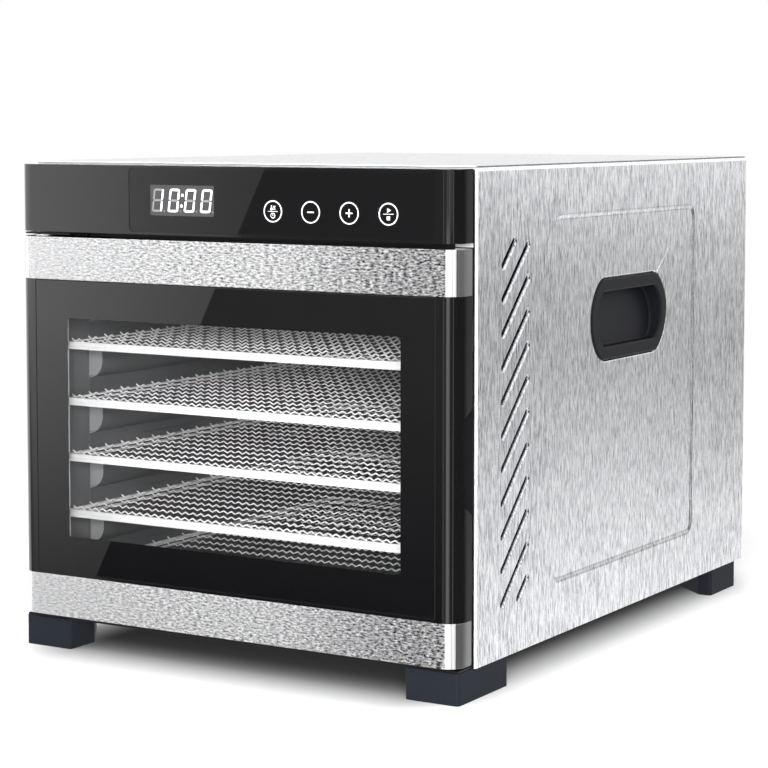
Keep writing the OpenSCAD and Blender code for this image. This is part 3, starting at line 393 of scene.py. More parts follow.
def printed(f, base, strength):
    """White print with a painted glow: it gives off light of its own, with no lamp behind the
    glass.
    """
    ink = f.noise(1400.0, detail=1.0)
    return f.surface(Base_Color=f.tint(base, 0.92 + ink * 0.16), Roughness=0.45,
                     Emission_Color=tuple(base), Emission_Strength=strength)


WINDOW = {}     # the clear part of the door's glass, in metres
PLACES = {}     # where the finishes change, in metres
FINISHES = {}


def make_finishes():
    """One finish for each of the record's material slots, and those of the fine pieces."""
    c = bpy.context.scene.dehydrator_colours
    looks = (
        ("shell_steel", shell_steel, c.shell),
        ("trim_steel", trim_steel, c.trim),
        ("chamber_steel", sheet_steel, c.chamber, 0.42, 0.5, 0.3),
        ("tray_steel", bright_wire, c.tray, 0.36, 0.1),
        ("frame_paint", moulded, (0.012, 0.012, 0.014), 0.38),
        ("pan_steel", sheet_steel, (0.30, 0.31, 0.32), 0.45, 0.9, 0.3),
        ("fascia_black", lacquered, c.black, 1.56),
        ("panel_glass", black_glass, c.black),
        ("display_grey", moulded, (0.062, 0.062, 0.064), 0.35, 0.01),
        # the pale tone is a painted highlight on the door's window reveal
        ("door_black", lacquered, c.black, 1.6, (0.93, 0.93, 0.94)),
        ("door_pane", door_pane, c.black),
        ("handle_plastic", moulded, c.handle, 0.5, 0.06, 0.14),
        ("foot_plastic", moulded, c.foot, 0.6, 0.08, 0.12),
        ("cover_plastic", moulded, (0.020, 0.020, 0.022), 0.5, 0.07),
        ("gasket_rubber", moulded, (0.05, 0.05, 0.054), 0.7, 0.04),
        ("nylon", moulded, (0.75, 0.73, 0.66), 0.4, 0.02, 0.4, 600.0, 0.08),
        ("screw_steel", bright_wire, (0.62, 0.62, 0.63), 0.3),
        ("motor_steel", sheet_steel, (0.32, 0.33, 0.35), 0.4),
        ("fan_aluminium", sheet_steel, (0.55, 0.56, 0.58), 0.35),
        ("heater_sheath", sheet_steel, (0.22, 0.19, 0.17), 0.5, 0.9, 0.35),
        ("cutout_ceramic", moulded, (0.62, 0.59, 0.5), 0.5, 0.03, 0.4, 500.0, 0.15),
        ("board_green", moulded, (0.02, 0.13, 0.045), 0.4, 0.03, 0.4, 300.0, 0.3),
        ("loom_black", moulded, (0.02, 0.021, 0.023), 0.5),
        ("magnet_housing", moulded, (0.04, 0.04, 0.043), 0.5),
        # the straight wires' near-black tone is painted shade: the same steel as the bright crimped
        # wires
        ("cross_wire", bright_wire, (0.10, 0.10, 0.105), 0.35, 0.3),
        # the hem's near-white front is a painted highlight
        ("hem_steel", hem_steel, (0.92, 0.92, 0.925), (0.42, 0.425, 0.435)),
        # the near-white tone of the chamber's rolled edges and the frame end is a painted highlight
        ("rolled_steel", bright_wire, (0.90, 0.90, 0.905), 0.3, 0.25),
        ("lit_segment", glow, c.lit, 1.15),
        # the glow of the unlit segments and the key signs is painted light
        ("dark_segment", printed, (0.25, 0.25, 0.26), 0.08),
        ("key_print", printed, (0.85, 0.85, 0.86), 0.35),
        # the racks' front ends and the webs get a lighter tone than the chamber: painted light
        ("rack_steel", rack_steel, c.chamber, (0.33, 0.335, 0.34)),
        ("web_steel", bright_wire, (0.33, 0.335, 0.34), 0.4, 0.05))
    for name, made_by, *look in looks:
        FINISHES[name] = made_by(Finish(name), *look)
    for name, node in frame["nodes"].items():
        node.data.materials[0] = FINISHES[slot_of(name)]


# --- modelling ---

def in_mm(corners):
    return [corner / MM for corner in corners]


def mesh_of(bm, name):
    """Turns the bmesh into a mesh and frees it."""
    mesh = bpy.data.meshes.new(name)
    bm.to_mesh(mesh)
    bm.free()
    return mesh


def in_scene(name, data):
    obj = bpy.data.objects.new(name, data)
    bpy.context.scene.collection.objects.link(obj)
    return obj


def keep(bm, name, body, slot, finish=None, stands_for=(), smooth=35.0, flat=False):
    """Makes the bmesh, drawn in millimetres, a piece that rides on a body. With flat, the faces
    that lie along an axis stay flat beside rounded ones."""
    bm.transform(Matrix.Scale(MM, 4))
    mesh = mesh_of(bm, name)
    mesh.shade_smooth()
    mesh.set_sharp_from_angle(angle=math.radians(smooth))
    piece = in_scene(name, mesh)
    mesh.materials.append(FINISHES[finish or slot])
    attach(piece, body)
    if stands_for:
        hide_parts(*stands_for)
    if flat:
        for polygon in mesh.polygons:
            polygon.use_smooth = max(abs(part) for part in polygon.normal) < 0.99999
    return piece


def body_of(node):
    return frame["nodes"][node]["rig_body"]


def slot_of(node):
    return frame["nodes"][node].data.materials[0].name.split(".")[0]


def round_edges(piece, width, angle=32.0):
    """Rounds the edges and lets the large flat faces stay flat beside them."""
    bevel = piece.modifiers.new("Rounded edges", "BEVEL")
    bevel.width = width * MM
    bevel.segments = 2
    bevel.limit_method = "ANGLE"
    bevel.angle_limit = math.radians(angle)
    bevel.use_clamp_overlap = True
    weighted = piece.modifiers.new("Flat faces", "WEIGHTED_NORMAL")
    weighted.mode = "FACE_AREA"
    weighted.weight = 100
    weighted.keep_sharp = True


def softened(node, width, finish=None):
    """A CAD node's shape with its edges rounded, standing for the node."""
    bm = bmesh.new()
    bm.from_mesh(frame["nodes"][node].data)
    merge(bm, 0.002 * MM)
    bmesh.ops.dissolve_limit(bm, angle_limit=math.radians(0.6), verts=bm.verts, edges=bm.edges)
    bm.transform(Matrix.Scale(1 / MM, 4))
    piece = keep(bm, node + "_soft", body_of(node), slot_of(node), finish, (node,))
    if width:
        round_edges(piece, width)


def outwards(bm):
    bmesh.ops.recalc_face_normals(bm, faces=bm.faces)


def everything(bm):
    """All of the bmesh's geometry."""
    return bm.verts[:] + bm.edges[:] + bm.faces[:]


def cut_out(bm, faces):
    bmesh.ops.delete(bm, geom=faces, context="FACES_ONLY")


def thicken(bm, thickness):
    bmesh.ops.solidify(bm, geom=bm.faces[:], thickness=thickness)


def merge(bm, dist):
    bmesh.ops.remove_doubles(bm, verts=bm.verts, dist=dist)


def plate(bm, w, h, r, corners=6):
    """A flat face with round corners, in X and Y, turned up towards +Z."""
    made = bmesh.ops.create_grid(bm, x_segments=1, y_segments=1, size=0.5)["verts"]
    bmesh.ops.scale(bm, vec=(w, h, 1), verts=made)
    bmesh.ops.bevel(bm, geom=made, offset=r, affect="VERTICES", segments=corners, profile=0.5,
                    material=-1, offset_type="OFFSET")
    merge(bm, 0.001)


def join(target, source, matrix=None):
    """Adds one bmesh to another, moved by matrix."""
    if matrix is not None:
        source.transform(matrix)
    mesh = mesh_of(source, "join")
    target.from_mesh(mesh)
    bpy.data.meshes.remove(mesh)


def sink(bm, steps):
    """Insets the bmesh's one face step by step, each an inset and a drop, and returns it."""
    face = max(bm.faces, key=lambda f: f.calc_area())
    for inset, drop in steps:
        bmesh.ops.inset_region(bm, faces=[face], thickness=inset, depth=-drop,
                               use_even_offset=True, use_boundary=True)
    return face


def tube(bm, length, radius, sides, steps, path):
    """A closed tube along X whose middle rises to path(x), made from a grid."""
    made = bmesh.ops.create_grid(bm, x_segments=steps, y_segments=sides, size=0.5)["verts"]
    for v in made:
        x, turn = (v.co.x + 0.5) * length, (v.co.y + 0.5) * math.tau
        v.co = Vector((x, radius * math.sin(turn), path(x) - radius * math.cos(turn)))
    merge(bm, radius * 0.05)
    ends = [e for e in bm.edges if e.is_boundary]
    bmesh.ops.holes_fill(bm, edges=ends, sides=0)


def moved(x=0.0, y=0.0, z=0.0):
    return Matrix.Translation((x, y, z))


def turned(degrees, axis="Z"):
    return Matrix.Rotation(math.radians(degrees), 4, axis)


def stand_up(bm, x, y, z, side):
    """Turns a flat form to the front, with its front (side is min) or its back (max) at y."""
    bm.transform(turned(90, "X"))
    bm.transform(moved(x, y - side(v.co.y for v in bm.verts), z))


# --- outer shell ---

def capsule(length, width, sides=24):
    """A slot's outline as a face, along X."""
    bm = bmesh.new()
    made = bmesh.ops.create_circle(bm, cap_ends=True, segments=sides, radius=width / 2,
                                   matrix=Matrix.Rotation(math.pi / sides, 4, "Z"))["verts"]
    for v in made:
        v.co.x += math.copysign((length - width) / 2, v.co.x)
    return bm


def capsule_lip(length, width, lip):
    """A vent's opening with its lip drawn inwards, from an outline that is larger all round."""
    grow = 1.5
    bm = capsule(length + width + 2 * grow, width + 2 * grow)
    face = sink(bm, [(0.2, 0), (0.4, 0.1), (0.4, 0.26), (0.3, 0.34), (0.18, 0.34), (0.02, lip)])
    cut_out(bm, [face])
    return bm


def handle_seat(length, height, end_r, grow):
    """The bezel's outline as a face."""
    bm = capsule(length + 2 * grow, 2 * (end_r + grow), 72)
    reach = length / 2 - end_r
    for side in (-1, 1):
        bmesh.ops.bisect_plane(bm, geom=everything(bm), clear_outer=True,
                               plane_co=(0, side * (height / 2 + grow), 0), plane_no=(0, side, 0))
    corners = [v for v in bm.verts if abs(abs(v.co.y) - height / 2 - grow) < 0.01
               and abs(v.co.x) > reach * 1.2]
    bmesh.ops.bevel(bm, geom=corners, offset=4, affect="VERTICES", segments=3, profile=0.5,
                    material=-1)
    return bm


def pressed_side(s, low, high, bezel_low, bezel_high):
    """The recess with the handle's pocket in it and the vents, flat in Y and Z."""
    panel = bmesh.new()
    y0, y1 = low.y + s.recess_front, high.y - s.recess_rear
    z0, z1 = low.z + s.recess_low, high.z - s.recess_high
    middle = Vector(((y0 + y1) / 2, (z0 + z1) / 2, 0))
    recess = bmesh.new()
    plate(recess, y1 - y0, z1 - z0, 10.0, corners=8)
    # the wall's section in steps, each a run and a drop, made to fit its slope and depth
    wall = [(0.4, 0.08), (0.5, 0.3), (0.9, 0.85), (0.9, 0.85), (0.5, 0.5), (0.4, 0.27), (0.6, 0.15)]
    slope, deep = (full / sum(part) for full, part in
                   zip((s.recess_slope, s.recess_depth), zip(*wall)))
    wall = [(inset * slope, drop * deep) for inset, drop in wall]
    ground = sink(recess, [(0.3, 0)] + wall + [(0.4, 0)])
    cut_out(recess, [ground])
    room = 1.6                  # between the bezel and the edge of its pocket
    seat = handle_seat(bezel_high.y - bezel_low.y, bezel_high.z - bezel_low.z, s.bezel_end_r, room)
    seat_ground = sink(seat, [(0.2, 0), (0.3, 0.06), (0.3, 0.24), (0.2, s.seat_depth - 0.6),
                              (0.2, 0.25), (3.5, 0.05)])
    cut_out(seat, [seat_ground])
    handle = Vector(((bezel_low.y + bezel_high.y) / 2, (bezel_low.z + bezel_high.z) / 2, 0))
    join(recess, seat, moved(*(handle - middle)) @ moved(z=-s.recess_depth))
    between = [e for e in recess.edges if e.is_boundary
               and all(abs(v.co.z + s.recess_depth) < 0.002 for v in e.verts)]
    bmesh.ops.triangle_fill(recess, use_beauty=True, edges=between, normal=(0, 0, 1))
    join(panel, recess, moved(*middle))
    # slanted vents, the first and the last cut short by the level ends of their column
    vent_low, vent_high = z0, z1 - 15
    for n in range(math.ceil((high.z - low.z) / s.vent_pitch)):
        start = vent_low + (n - 1) * s.vent_pitch
        t0 = max(0.0, (vent_low - start) / s.vent_run)
        t1 = min(1.0, (vent_high - start) / s.vent_run)
        if t1 - t0 > 0.25:
            along = (t0 + t1) / 2 * s.vent_run
            join(panel, capsule_lip((t1 - t0) * s.vent_run * math.sqrt(2), s.vent_w, s.lip_depth),
                 moved(low.y + s.vent_front + along, start + along) @ turned(45))
    return panel


def made_whole(bm):
    """Mirrors the right half to the left, merges it and turns its faces outwards."""
    bmesh.ops.mirror(bm, geom=everything(bm), axis="X", merge_dist=0.001)
    merge(bm, 0.002)
    outwards(bm)
    if max(bm.faces, key=lambda f: f.calc_center_median().z).normal.z < 0:
        bmesh.ops.reverse_faces(bm, faces=bm.faces)


def pulled(bm, edges):
    """Extrudes the edges and returns the new ones."""
    made = bmesh.ops.extrude_edge_only(bm, edges=edges)["geom"]
    return [e for e in made if isinstance(e, bmesh.types.BMEdge)]


def points_of(edges):
    return list({v for e in edges for v in e.verts})


class DEHYDRATOR_OT_shell(bpy.types.Operator):
    """Builds the outer shell with its side recesses, vents, handle pockets and rolled hem"""
    bl_idname = "dehydrator.shell"
    bl_label = "Outer shell"

    def execute(self, context):
        s = context.scene.dehydrator_sizes
        low, high = in_mm(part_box("outer_shell"))
        bezel_low, bezel_high = in_mm(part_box("right_handle_cup"))
        side, top, front = high.x, high.z - s.corner_r, low.y + s.hem_t / 2

        # the side as a sheet round its pressings
        panel = pressed_side(s, low, high, bezel_low, bezel_high)
        outline = bmesh.ops.create_grid(panel, x_segments=1, y_segments=1, size=0.5)["verts"]
        bmesh.ops.scale(panel, vec=(high.y - front, top - low.z, 1), verts=outline)
        bmesh.ops.translate(panel, vec=((high.y + front) / 2, (top + low.z) / 2, 0), verts=outline)
        plain = [f for f in panel.faces if all(v in outline for v in f.verts)]
        cut_out(panel, plain)
        around = [e for e in panel.edges if all(abs(v.co.z) < 0.002 for v in e.verts)
                  and (e.is_boundary or e.is_wire)]
        bmesh.ops.triangle_fill(panel, use_beauty=True, edges=around, normal=(0, 0, 1))

        # its rounded upper corner and half of the top
        shell = bmesh.new()
        join(shell, panel, moved(side) @ turned(90) @ turned(90, "X"))
        upper = [e for e in shell.edges if e.is_boundary and all(
            abs(v.co.z - top) < 0.002 and abs(v.co.x - side) < 0.002 for v in e.verts)]
        round_corner = {"cent": (side - s.corner_r, 0, top), "axis": (0, 1, 0),
                        "angle": -math.radians(90), "steps": 6}
        spun = bmesh.ops.spin(shell, geom=upper, **round_corner)["geom_last"]
        crown = pulled(shell, [e for e in spun if isinstance(e, bmesh.types.BMEdge)])
        for v in points_of(crown):
            v.co.x = 0.0
        made_whole(shell)
        thicken(shell, s.sheet)
        keep(shell, "shell_wrap", "cabinet", "shell_steel", None, ("outer_shell",), 40.0,
             flat=True)

        # the hem: the same section rolled in round the front edge
        hem = bmesh.new()
        foot = hem.verts.new((side, front, low.z))
        rise = hem.verts.new((side, front, top))
        hem.edges.new((foot, rise))
        spun = bmesh.ops.spin(hem, geom=[rise], **round_corner)["geom_last"]
        crown = bmesh.ops.extrude_vert_indiv(hem, verts=spun)
        for v in crown["verts"]:
            v.co.x = 0.0
        section = hem.edges[:]

        def inwards(v):
            across = Vector((v.co.x - (side - s.corner_r), v.co.z - top))
            if across.y <= 0.002:
                return Vector((-1, 0))
            return Vector((0, -1)) if across.x <= 0.002 else -across.normalized()

        def rolled(edges, inward, forward):
            edges = pulled(hem, edges)
            for v in points_of(edges):
                step = inwards(v) * inward
                v.co += Vector((step.x, -forward, step.y))
            return edges

        fold, steps, back = s.hem_t / 2, 8, s.hem_w - s.hem_t / 2
        for turn in range(steps):
            before, after = (math.radians(180 * (turn + k) / steps) for k in (0, 1))
            section = rolled(section, fold * (math.cos(before) - math.cos(after)),
                             fold * (math.sin(after) - math.sin(before)))
        under = s.sheet + 0.03      # the shell's sheet ends in this slot of the hem
        for inward, forward in ((0, -back), (under - s.hem_t, 0), (0, back), (-under, 0)):
            section = rolled(section, inward, forward)
        merge(hem, 0.002)
        ends = [e for e in hem.edges if e.is_boundary and all(v.co.x > 1 for v in e.verts)]
        bmesh.ops.holes_fill(hem, edges=ends, sides=0)
        made_whole(hem)
        keep(hem, "shell_hem", "cabinet", "shell_steel", "hem_steel", (), 40.0, flat=True)

        # the end of the front frame that shows between the fascia and the door, a near-white strip:
        # a painted highlight
        z0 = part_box("door_frame")[1].z / MM + 0.4
        z1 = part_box("control_fascia")[0].z / MM - 0.3
        width, thick, from_side, from_front = 12.4, 0.3, 10.6, 3.25
        strip = bmesh.new()
        bmesh.ops.create_cube(strip, size=1.0)
        strip.transform(moved(side - from_side, low.y + from_front, (z0 + z1) / 2)
                        @ Matrix.Diagonal((width, thick, z1 - z0, 1)))
        keep(strip, "frame_end", "cabinet", "frame_paint", "rolled_steel")
        return {"FINISHED"}


# --- rounded CAD pieces ---

# each piece with the width of its rounding, mm
SOFTENED = {
    "control_fascia": 0.5, "left_handle_cup": 1.2, "right_handle_cup": 1.2,
    "front_left_foot": 0.9, "front_right_foot": 0.9, "rear_left_foot": 0.9, "rear_right_foot": 0.9,
    "door_top_trim": 0.5, "door_bottom_trim": 0.5, "door_frame": 0.4, "door_back_plate": 0.4,
    "door_gasket": 0.8, "rear_vent_cover": 0.8, "cord_gland": 0.5, "front_frame": 0.15,
}


class DEHYDRATOR_OT_castings(bpy.types.Operator):
    """Rounds the edges of the moulded and folded pieces"""
    bl_idname = "dehydrator.castings"
    bl_label = "Moulded pieces"

    def execute(self, context):
        for node, width in SOFTENED.items():
            softened(node, width)
        return {"FINISHED"}


PRINT_ROOM = 0.12       # the print on the control glass takes this much of its thickness, mm


class DEHYDRATOR_OT_glass(bpy.types.Operator):
    """Builds the door glass and the control glass with ground edges"""
    bl_idname = "dehydrator.glass"
    bl_label = "Glass"

    def execute(self, context):
        for node, edge, r, back in (("door_glass", 0.35, 0.8, 0.0),
                                    ("control_glass", 0.2, 3.0, PRINT_ROOM)):
            low, high = in_mm(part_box(node))
            middle = (low + high) / 2
            bm = bmesh.new()
            plate(bm, high.x - low.x, high.z - low.z, r)
            thicken(bm, back - (high.y - low.y))
            outwards(bm)
            stand_up(bm, middle.x, low.y + back, middle.z, min)
            piece = keep(bm, node + "_pane", body_of(node), slot_of(node), None, (node,))
            round_edges(piece, edge, 60)
        return {"FINISHED"}


def runner_webs(drop):
    """The webs that close the front ends of the racks' runners, on both sides."""
    low, high = in_mm(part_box("right_rack"))
    off_wall, from_edge, thick = 0.8, 0.1, 0.6
    r = high.x - low.x - 2 * off_wall
    webs = bmesh.new()
    for n in range(1, 7):
        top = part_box("tray_rim_%d" % n)[0].z / MM - 0.5
        arc = [(high.x - off_wall - r * math.cos(a), top - drop - r * math.sin(a))
               for a in (math.radians(9 * k) for k in range(11))]
        outline = [(high.x - off_wall, top), (low.x + off_wall, top)] + arc
        for side in (1, -1):
            web = webs.faces.new([webs.verts.new((side * x, low.y + from_edge, z))
                                  for x, z in outline])
            made = bmesh.ops.extrude_face_region(webs, geom=[web])["geom"]
            bmesh.ops.translate(webs, vec=(0, thick, 0),
                                verts=[v for v in made if isinstance(v, bmesh.types.BMVert)])
    outwards(webs)
    return webs


class DEHYDRATOR_OT_chamber(bpy.types.Operator):
    """Builds the rolled front edges of the chamber's walls and racks, and the runners' webs"""
    bl_idname = "dehydrator.chamber"
    bl_label = "Chamber edges"

    def execute(self, context):
        bm = bmesh.new()
        for node, r, walls in (("chamber_liner", 0.85, (0.9, -0.9)), ("left_rack", 0.45, (0.3,)),
                               ("right_rack", 0.45, (-0.3,))):
            low, high = in_mm(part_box(node))
            for inset in walls:
                x = (low.x if inset > 0 else high.x) + inset
                rod = bmesh.new()
                bmesh.ops.create_cone(rod, cap_ends=True, segments=12, radius1=r, radius2=r,
                                      depth=high.z - low.z - 3)
                join(bm, rod, moved(x, low.y + r, (low.z + high.z) / 2))
        outwards(bm)
        # the rolled edges' near-white finish is a painted highlight
        keep(bm, "chamber_rolled_edges", "cabinet", "chamber_steel", "rolled_steel")
        for node in ("left_rack", "right_rack"):
            softened(node, 0.0, "rack_steel")
        # the webs' lighter finish is painted light on their front faces
        keep(runner_webs(context.scene.dehydrator_sizes.runner_drop), "rack_webs", "cabinet",
             "chamber_steel", "web_steel", (), 30.0)
        return {"FINISHED"}


# --- display and touch keys ---

def bar(w, h, r, x=0.0, z=0.0, turn=0.0):
    bm = bmesh.new()
    plate(bm, w, h, r, corners=3)
    bm.transform(moved(x, z) @ turned(turn))
    return bm


def disc(r, x=0.0, z=0.0, sides=32, turn=0.0):
    bm = bmesh.new()
    bmesh.ops.create_circle(bm, cap_ends=True, segments=sides, radius=r)
    bm.transform(moved(x, z) @ turned(turn))
    return bm


def ring(r, line, x=0.0, z=0.0, sides=64):
    bm = disc(r, x, z, sides)
    face = bm.faces[:][0]
    bmesh.ops.inset_region(bm, faces=[face], thickness=line, use_even_offset=True,
                           use_boundary=True)
    cut_out(bm, [face])
    return bm


def graphic(shapes, name, x, y, z, finish, slot="panel_glass", thick=0.04):
    """Flat shapes drawn in X and Z, made a thin print on the glass."""
    bm = bmesh.new()
    for piece in shapes:
        join(bm, piece)
    thicken(bm, thick)
    outwards(bm)
    stand_up(bm, x, y, z, max)
    keep(bm, name, "cabinet", slot, finish)


def segments(w, h, line):
    """The seven bars of a leaning digit, a to g."""
    gap, lean = 0.16, 0.13
    shear = Matrix.Identity(4)
    shear[0][1] = lean
    half = h / 2
    across, up = w - line, half - line / 2
    places = [("a", 0, half - line / 2, 0), ("b", w / 2 - line / 2, half / 2, 1),
              ("c", w / 2 - line / 2, -half / 2, 1), ("d", 0, -half + line / 2, 0),
              ("e", -w / 2 + line / 2, -half / 2, 1), ("f", -w / 2 + line / 2, half / 2, 1),
              ("g", 0, 0, 0)]
    made = {}
    for key, x, z, upright in places:
        long = (up if upright else across) - 2 * gap
        made[key] = bar(long, line, line * 0.45, x, z, 90 * upright)
        made[key].transform(shear)
    return made


class DEHYDRATOR_OT_controls(bpy.types.Operator):
    """Builds the display's digits and the touch keys' signs"""
    bl_idname = "dehydrator.controls"
    bl_label = "Display and keys"

    def execute(self, context):
        s = context.scene.dehydrator_sizes
        low, high = in_mm(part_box("display_module"))
        glass_low, glass_high = in_mm(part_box("control_glass"))
        x, z = (low.x + high.x) / 2, (low.z + high.z) / 2
        glass, face = glass_low.y + PRINT_ROOM, 0.03
        lit, dark = [], []
        numerals = {"1": "bc", "0": "abcdef"}
        for place, numeral in zip((-1.5, -0.5, 0.5, 1.5), "1000"):
            place *= s.digit_pitch
            for key, piece in segments(s.digit_w, s.digit_h, s.digit_line).items():
                piece.transform(moved(place))
                (lit if key in numerals[numeral] else dark).append(piece)
            dark.append(disc(0.5, place + s.digit_w / 2 + 1.0, -s.digit_h / 2 + 0.6, 16))
        for up in (-1, 1):
            lit.append(disc(0.95, up * 0.4, up * 3.4, 20))
        back = [bar(high.x - low.x, high.z - low.z, 0.6)]
        for shapes, name, y, finish, thick in (
                (back, "display_face", glass, "display_grey", face),
                (dark, "display_dark_segments", glass - face, "dark_segment", 0.02),
                (lit, "display_lit_segments", glass - face, "lit_segment", 0.04)):
            graphic(shapes, name, x, y, z, finish, "display_grey", thick)
        # touch keys: heat over time, less, more, start over stop
        first = (glass_low.x + glass_high.x) / 2 - 2.6
        key_z = (glass_low.z + glass_high.z) / 2 - 5.25
        pitch = 27.83
        signs = [
            [bar(7.4, 0.3, 0.14), bar(0.75, 2.8, 0.37, -1.0, 2.4), disc(0.85, -1.0, 1.45, 20),
             bar(1.9, 0.35, 0.16, 1.2, 3.2), bar(1.5, 0.35, 0.16, 1.0, 2.3),
             bar(1.9, 0.35, 0.16, 1.2, 1.4), ring(1.75, 0.4, 0, -2.6, 32),
             bar(0.35, 1.1, 0.16, 0, -2.2), bar(0.9, 0.35, 0.16, 0.3, -2.7)],
            [bar(4.8, 0.8, 0.3)],
            [bar(5.0, 0.8, 0.3), bar(0.8, 5.0, 0.3)],
            [bar(7.4, 0.3, 0.14), disc(1.7, 0.1, 2.3, 3, -90), bar(2.3, 2.3, 0.25, 0, -2.5)],
        ]
        for n, drawn in enumerate(signs):
            drawn.append(ring(s.key_ring_r, 0.8))
            graphic(drawn, "key_sign_%d" % (n + 1), first + n * pitch, glass, key_z, "key_print")
        return {"FINISHED"}


# --- trays ---

def rim_strip(width, depth, height, strip):
    """A tray's rim: a flat strip on edge with a groove along the middle of its outer face."""
    bm = bmesh.new()
    plate(bm, width, depth, 3.0, corners=5)
    bmesh.ops.inset_region(bm, faces=bm.faces[:], thickness=strip, use_even_offset=True,
                           use_boundary=True)
    ground = max(bm.faces, key=lambda f: f.calc_area())
    cut_out(bm, [ground])
    thicken(bm, height)
    zs = [v.co.z for v in bm.verts]
    bm.transform(moved(z=-(min(zs) + max(zs)) / 2))
    groove, depth_of_groove = 0.35, 0.3
    for z in (-groove, 0.0, groove):
        bmesh.ops.bisect_plane(bm, geom=everything(bm), plane_co=(0, 0, z), plane_no=(0, 0, 1))
    for v in bm.verts:
        outside = abs(v.co.x) > width / 2 - 1.2 or abs(v.co.y) > depth / 2 - 1.2
        if abs(v.co.z) < 0.01 and outside:
            v.co.x *= 1 - 2 * depth_of_groove / width
            v.co.y *= 1 - 2 * depth_of_groove / depth
    outwards(bm)
    return bm


class DEHYDRATOR_OT_trays(bpy.types.Operator):
    """Builds the six trays: a rim strip with a mesh of crimped wire laid on it"""
    bl_idname = "dehydrator.trays"
    bl_label = "Trays"

    def execute(self, context):
        s = context.scene.dehydrator_sizes
        low, high = in_mm(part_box("tray_rim_1"))
        extent = high - low
        half, inset = extent.z / 2, 1.0
        x0, y0 = low.x + inset, low.y + inset
        length, depth = extent.x - 2 * inset, extent.y - 2 * inset
        level = half + s.crimp_height + s.wire_r - 0.75
        # crimped wires run from side to side and lie on the rim
        waves = round(length / s.crimp)
        wave = length / waves
        one = bmesh.new()
        tube(one, length, s.wire_r, 5, waves * 4,
             lambda x: s.crimp_height * math.cos(math.tau * x / wave))
        mesh = mesh_of(one, "wire")
        crimped, margin = bmesh.new(), 4
        rows = round((depth - 2 * margin) / s.wire_gap)
        gap = (depth - 2 * margin) / rows
        for n in range(rows + 1):
            before = len(crimped.verts)
            crimped.from_mesh(mesh)
            bmesh.ops.translate(crimped, vec=(x0, y0 + margin + n * gap, level),
                                verts=crimped.verts[:][before:])
        bpy.data.meshes.remove(mesh)
        # straight wires run from front to back under the crests, and end in a weld on the rim;
        # their near-black tone is painted shade
        cross, beads = bmesh.new(), bmesh.new()
        straight_r = 0.45
        for n in range(2, waves, 2):
            x = x0 + n * wave
            rod = bmesh.new()
            tube(rod, depth, straight_r, 6, 1, lambda x: 0.0)
            join(cross, rod, moved(x, y0, half + straight_r - 0.1) @ turned(90))
            bead = bmesh.new()
            bmesh.ops.create_icosphere(bead, subdivisions=1, radius=1.0)
            join(beads, bead, moved(x, y0 + 0.3, half + 0.35)
                 @ Matrix.Diagonal((0.85, 1.1, 0.6, 1)))
        forms = {"wires": (crimped, "tray_steel"), "cross_wires": (cross, "cross_wire"),
                 "weld_beads": (beads, "tray_steel")}
        for bm, _ in forms.values():
            outwards(bm)
        rim = rim_strip(*extent, s.rim_w)
        for n in range(1, 7):
            body = "tray_%d" % n
            low, high = in_mm(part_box("tray_rim_%d" % n))
            middle = (low + high) / 2
            copy = rim.copy()
            copy.transform(moved(*middle))
            piece = keep(copy, "tray_%d_rim" % n, body, "tray_steel", None, ("tray_rim_%d" % n,))
            round_edges(piece, 0.5, 60)
            for kind, (bm, finish) in forms.items():
                copy = bm.copy()
                copy.transform(moved(z=middle.z))
                keep(copy, "tray_%d_%s" % (n, kind), body, "tray_steel", finish,
                     ("tray_mesh_%d" % n,) if kind == "wires" else (), 60.0)
        return {"FINISHED"}


# --- stage ---

def lamp(name, place, aim, width, height, power):
    light = bpy.data.lights.new(name, "AREA")
    light.shape = "RECTANGLE"
    light.size, light.size_y = width, height
    light.energy = power
    obj = in_scene(name, light)
    obj.location = place
    obj.rotation_euler = (Vector(aim) - Vector(place)).to_track_quat("-Z", "Y").to_euler()
    obj.visible_glossy = obj.visible_camera = False


def card(name, bm, stops, fall=None):
    """A reflector that only polished surfaces see; its light goes through the stops from a low
    to a high level, and falls along X where fall gives the two places and the share left."""
    low, high = -0.75, 0.55
    mesh = mesh_of(bm, name)
    obj = in_scene(name, mesh)
    f = Finish(name)
    place = f.add("MapRange", None, {0: f.axes()[2], 1: low, 2: high})
    levels = f.add("ValToRGB", {"stops": [(at, (level,) * 3) for at, level in stops]}, {0: place})
    if fall:
        dimmed = 1 - f.axes()[0].ramp(*fall[:2]) * (1 - fall[2])
        levels = f.add("VectorMath", {"operation": "SCALE"}, {0: levels, "Scale": dimmed})
    mesh.materials.append(f.out(f.add("Emission", None, {"Color": levels, "Strength": 1.0})))
    obj.visible_camera = obj.visible_diffuse = obj.visible_shadow = False
    obj.visible_transmission = obj.visible_volume_scatter = False


def flat_card(points):
    """An upright reflector's one face, from its corners in X and Z, in front of the door."""
    bm = bmesh.new()
    bm.faces.new([bm.verts.new((x, -1.725, z)) for x, z in points])
    return bm


def screen(start, end, reach):
    """An upright round reflector, from and to angles turned from the door's front to its right."""
    corner_x, corner_y = 0.16, -0.2
    steps = max(2, round((end - start) / 10))
    bm = bmesh.new()
    foot = [bm.verts.new((corner_x + reach * math.sin(a), corner_y - reach * math.cos(a), ROOM[0]))
            for a in (math.radians(start + (end - start) * n / steps) for n in range(steps + 1))]
    edges = [bm.edges.new(pair) for pair in zip(foot, foot[1:])]
    for v in points_of(pulled(bm, edges)):
        v.co.z = ROOM[1]
    return bm


def level_card(z):
    bm = bmesh.new()
    bmesh.ops.create_grid(bm, x_segments=1, y_segments=1, size=2.4)
    bm.transform(moved(z=z))
    return bm


ROOM = (-1.5, 4.0)      # where the upright reflectors start and end, in metres
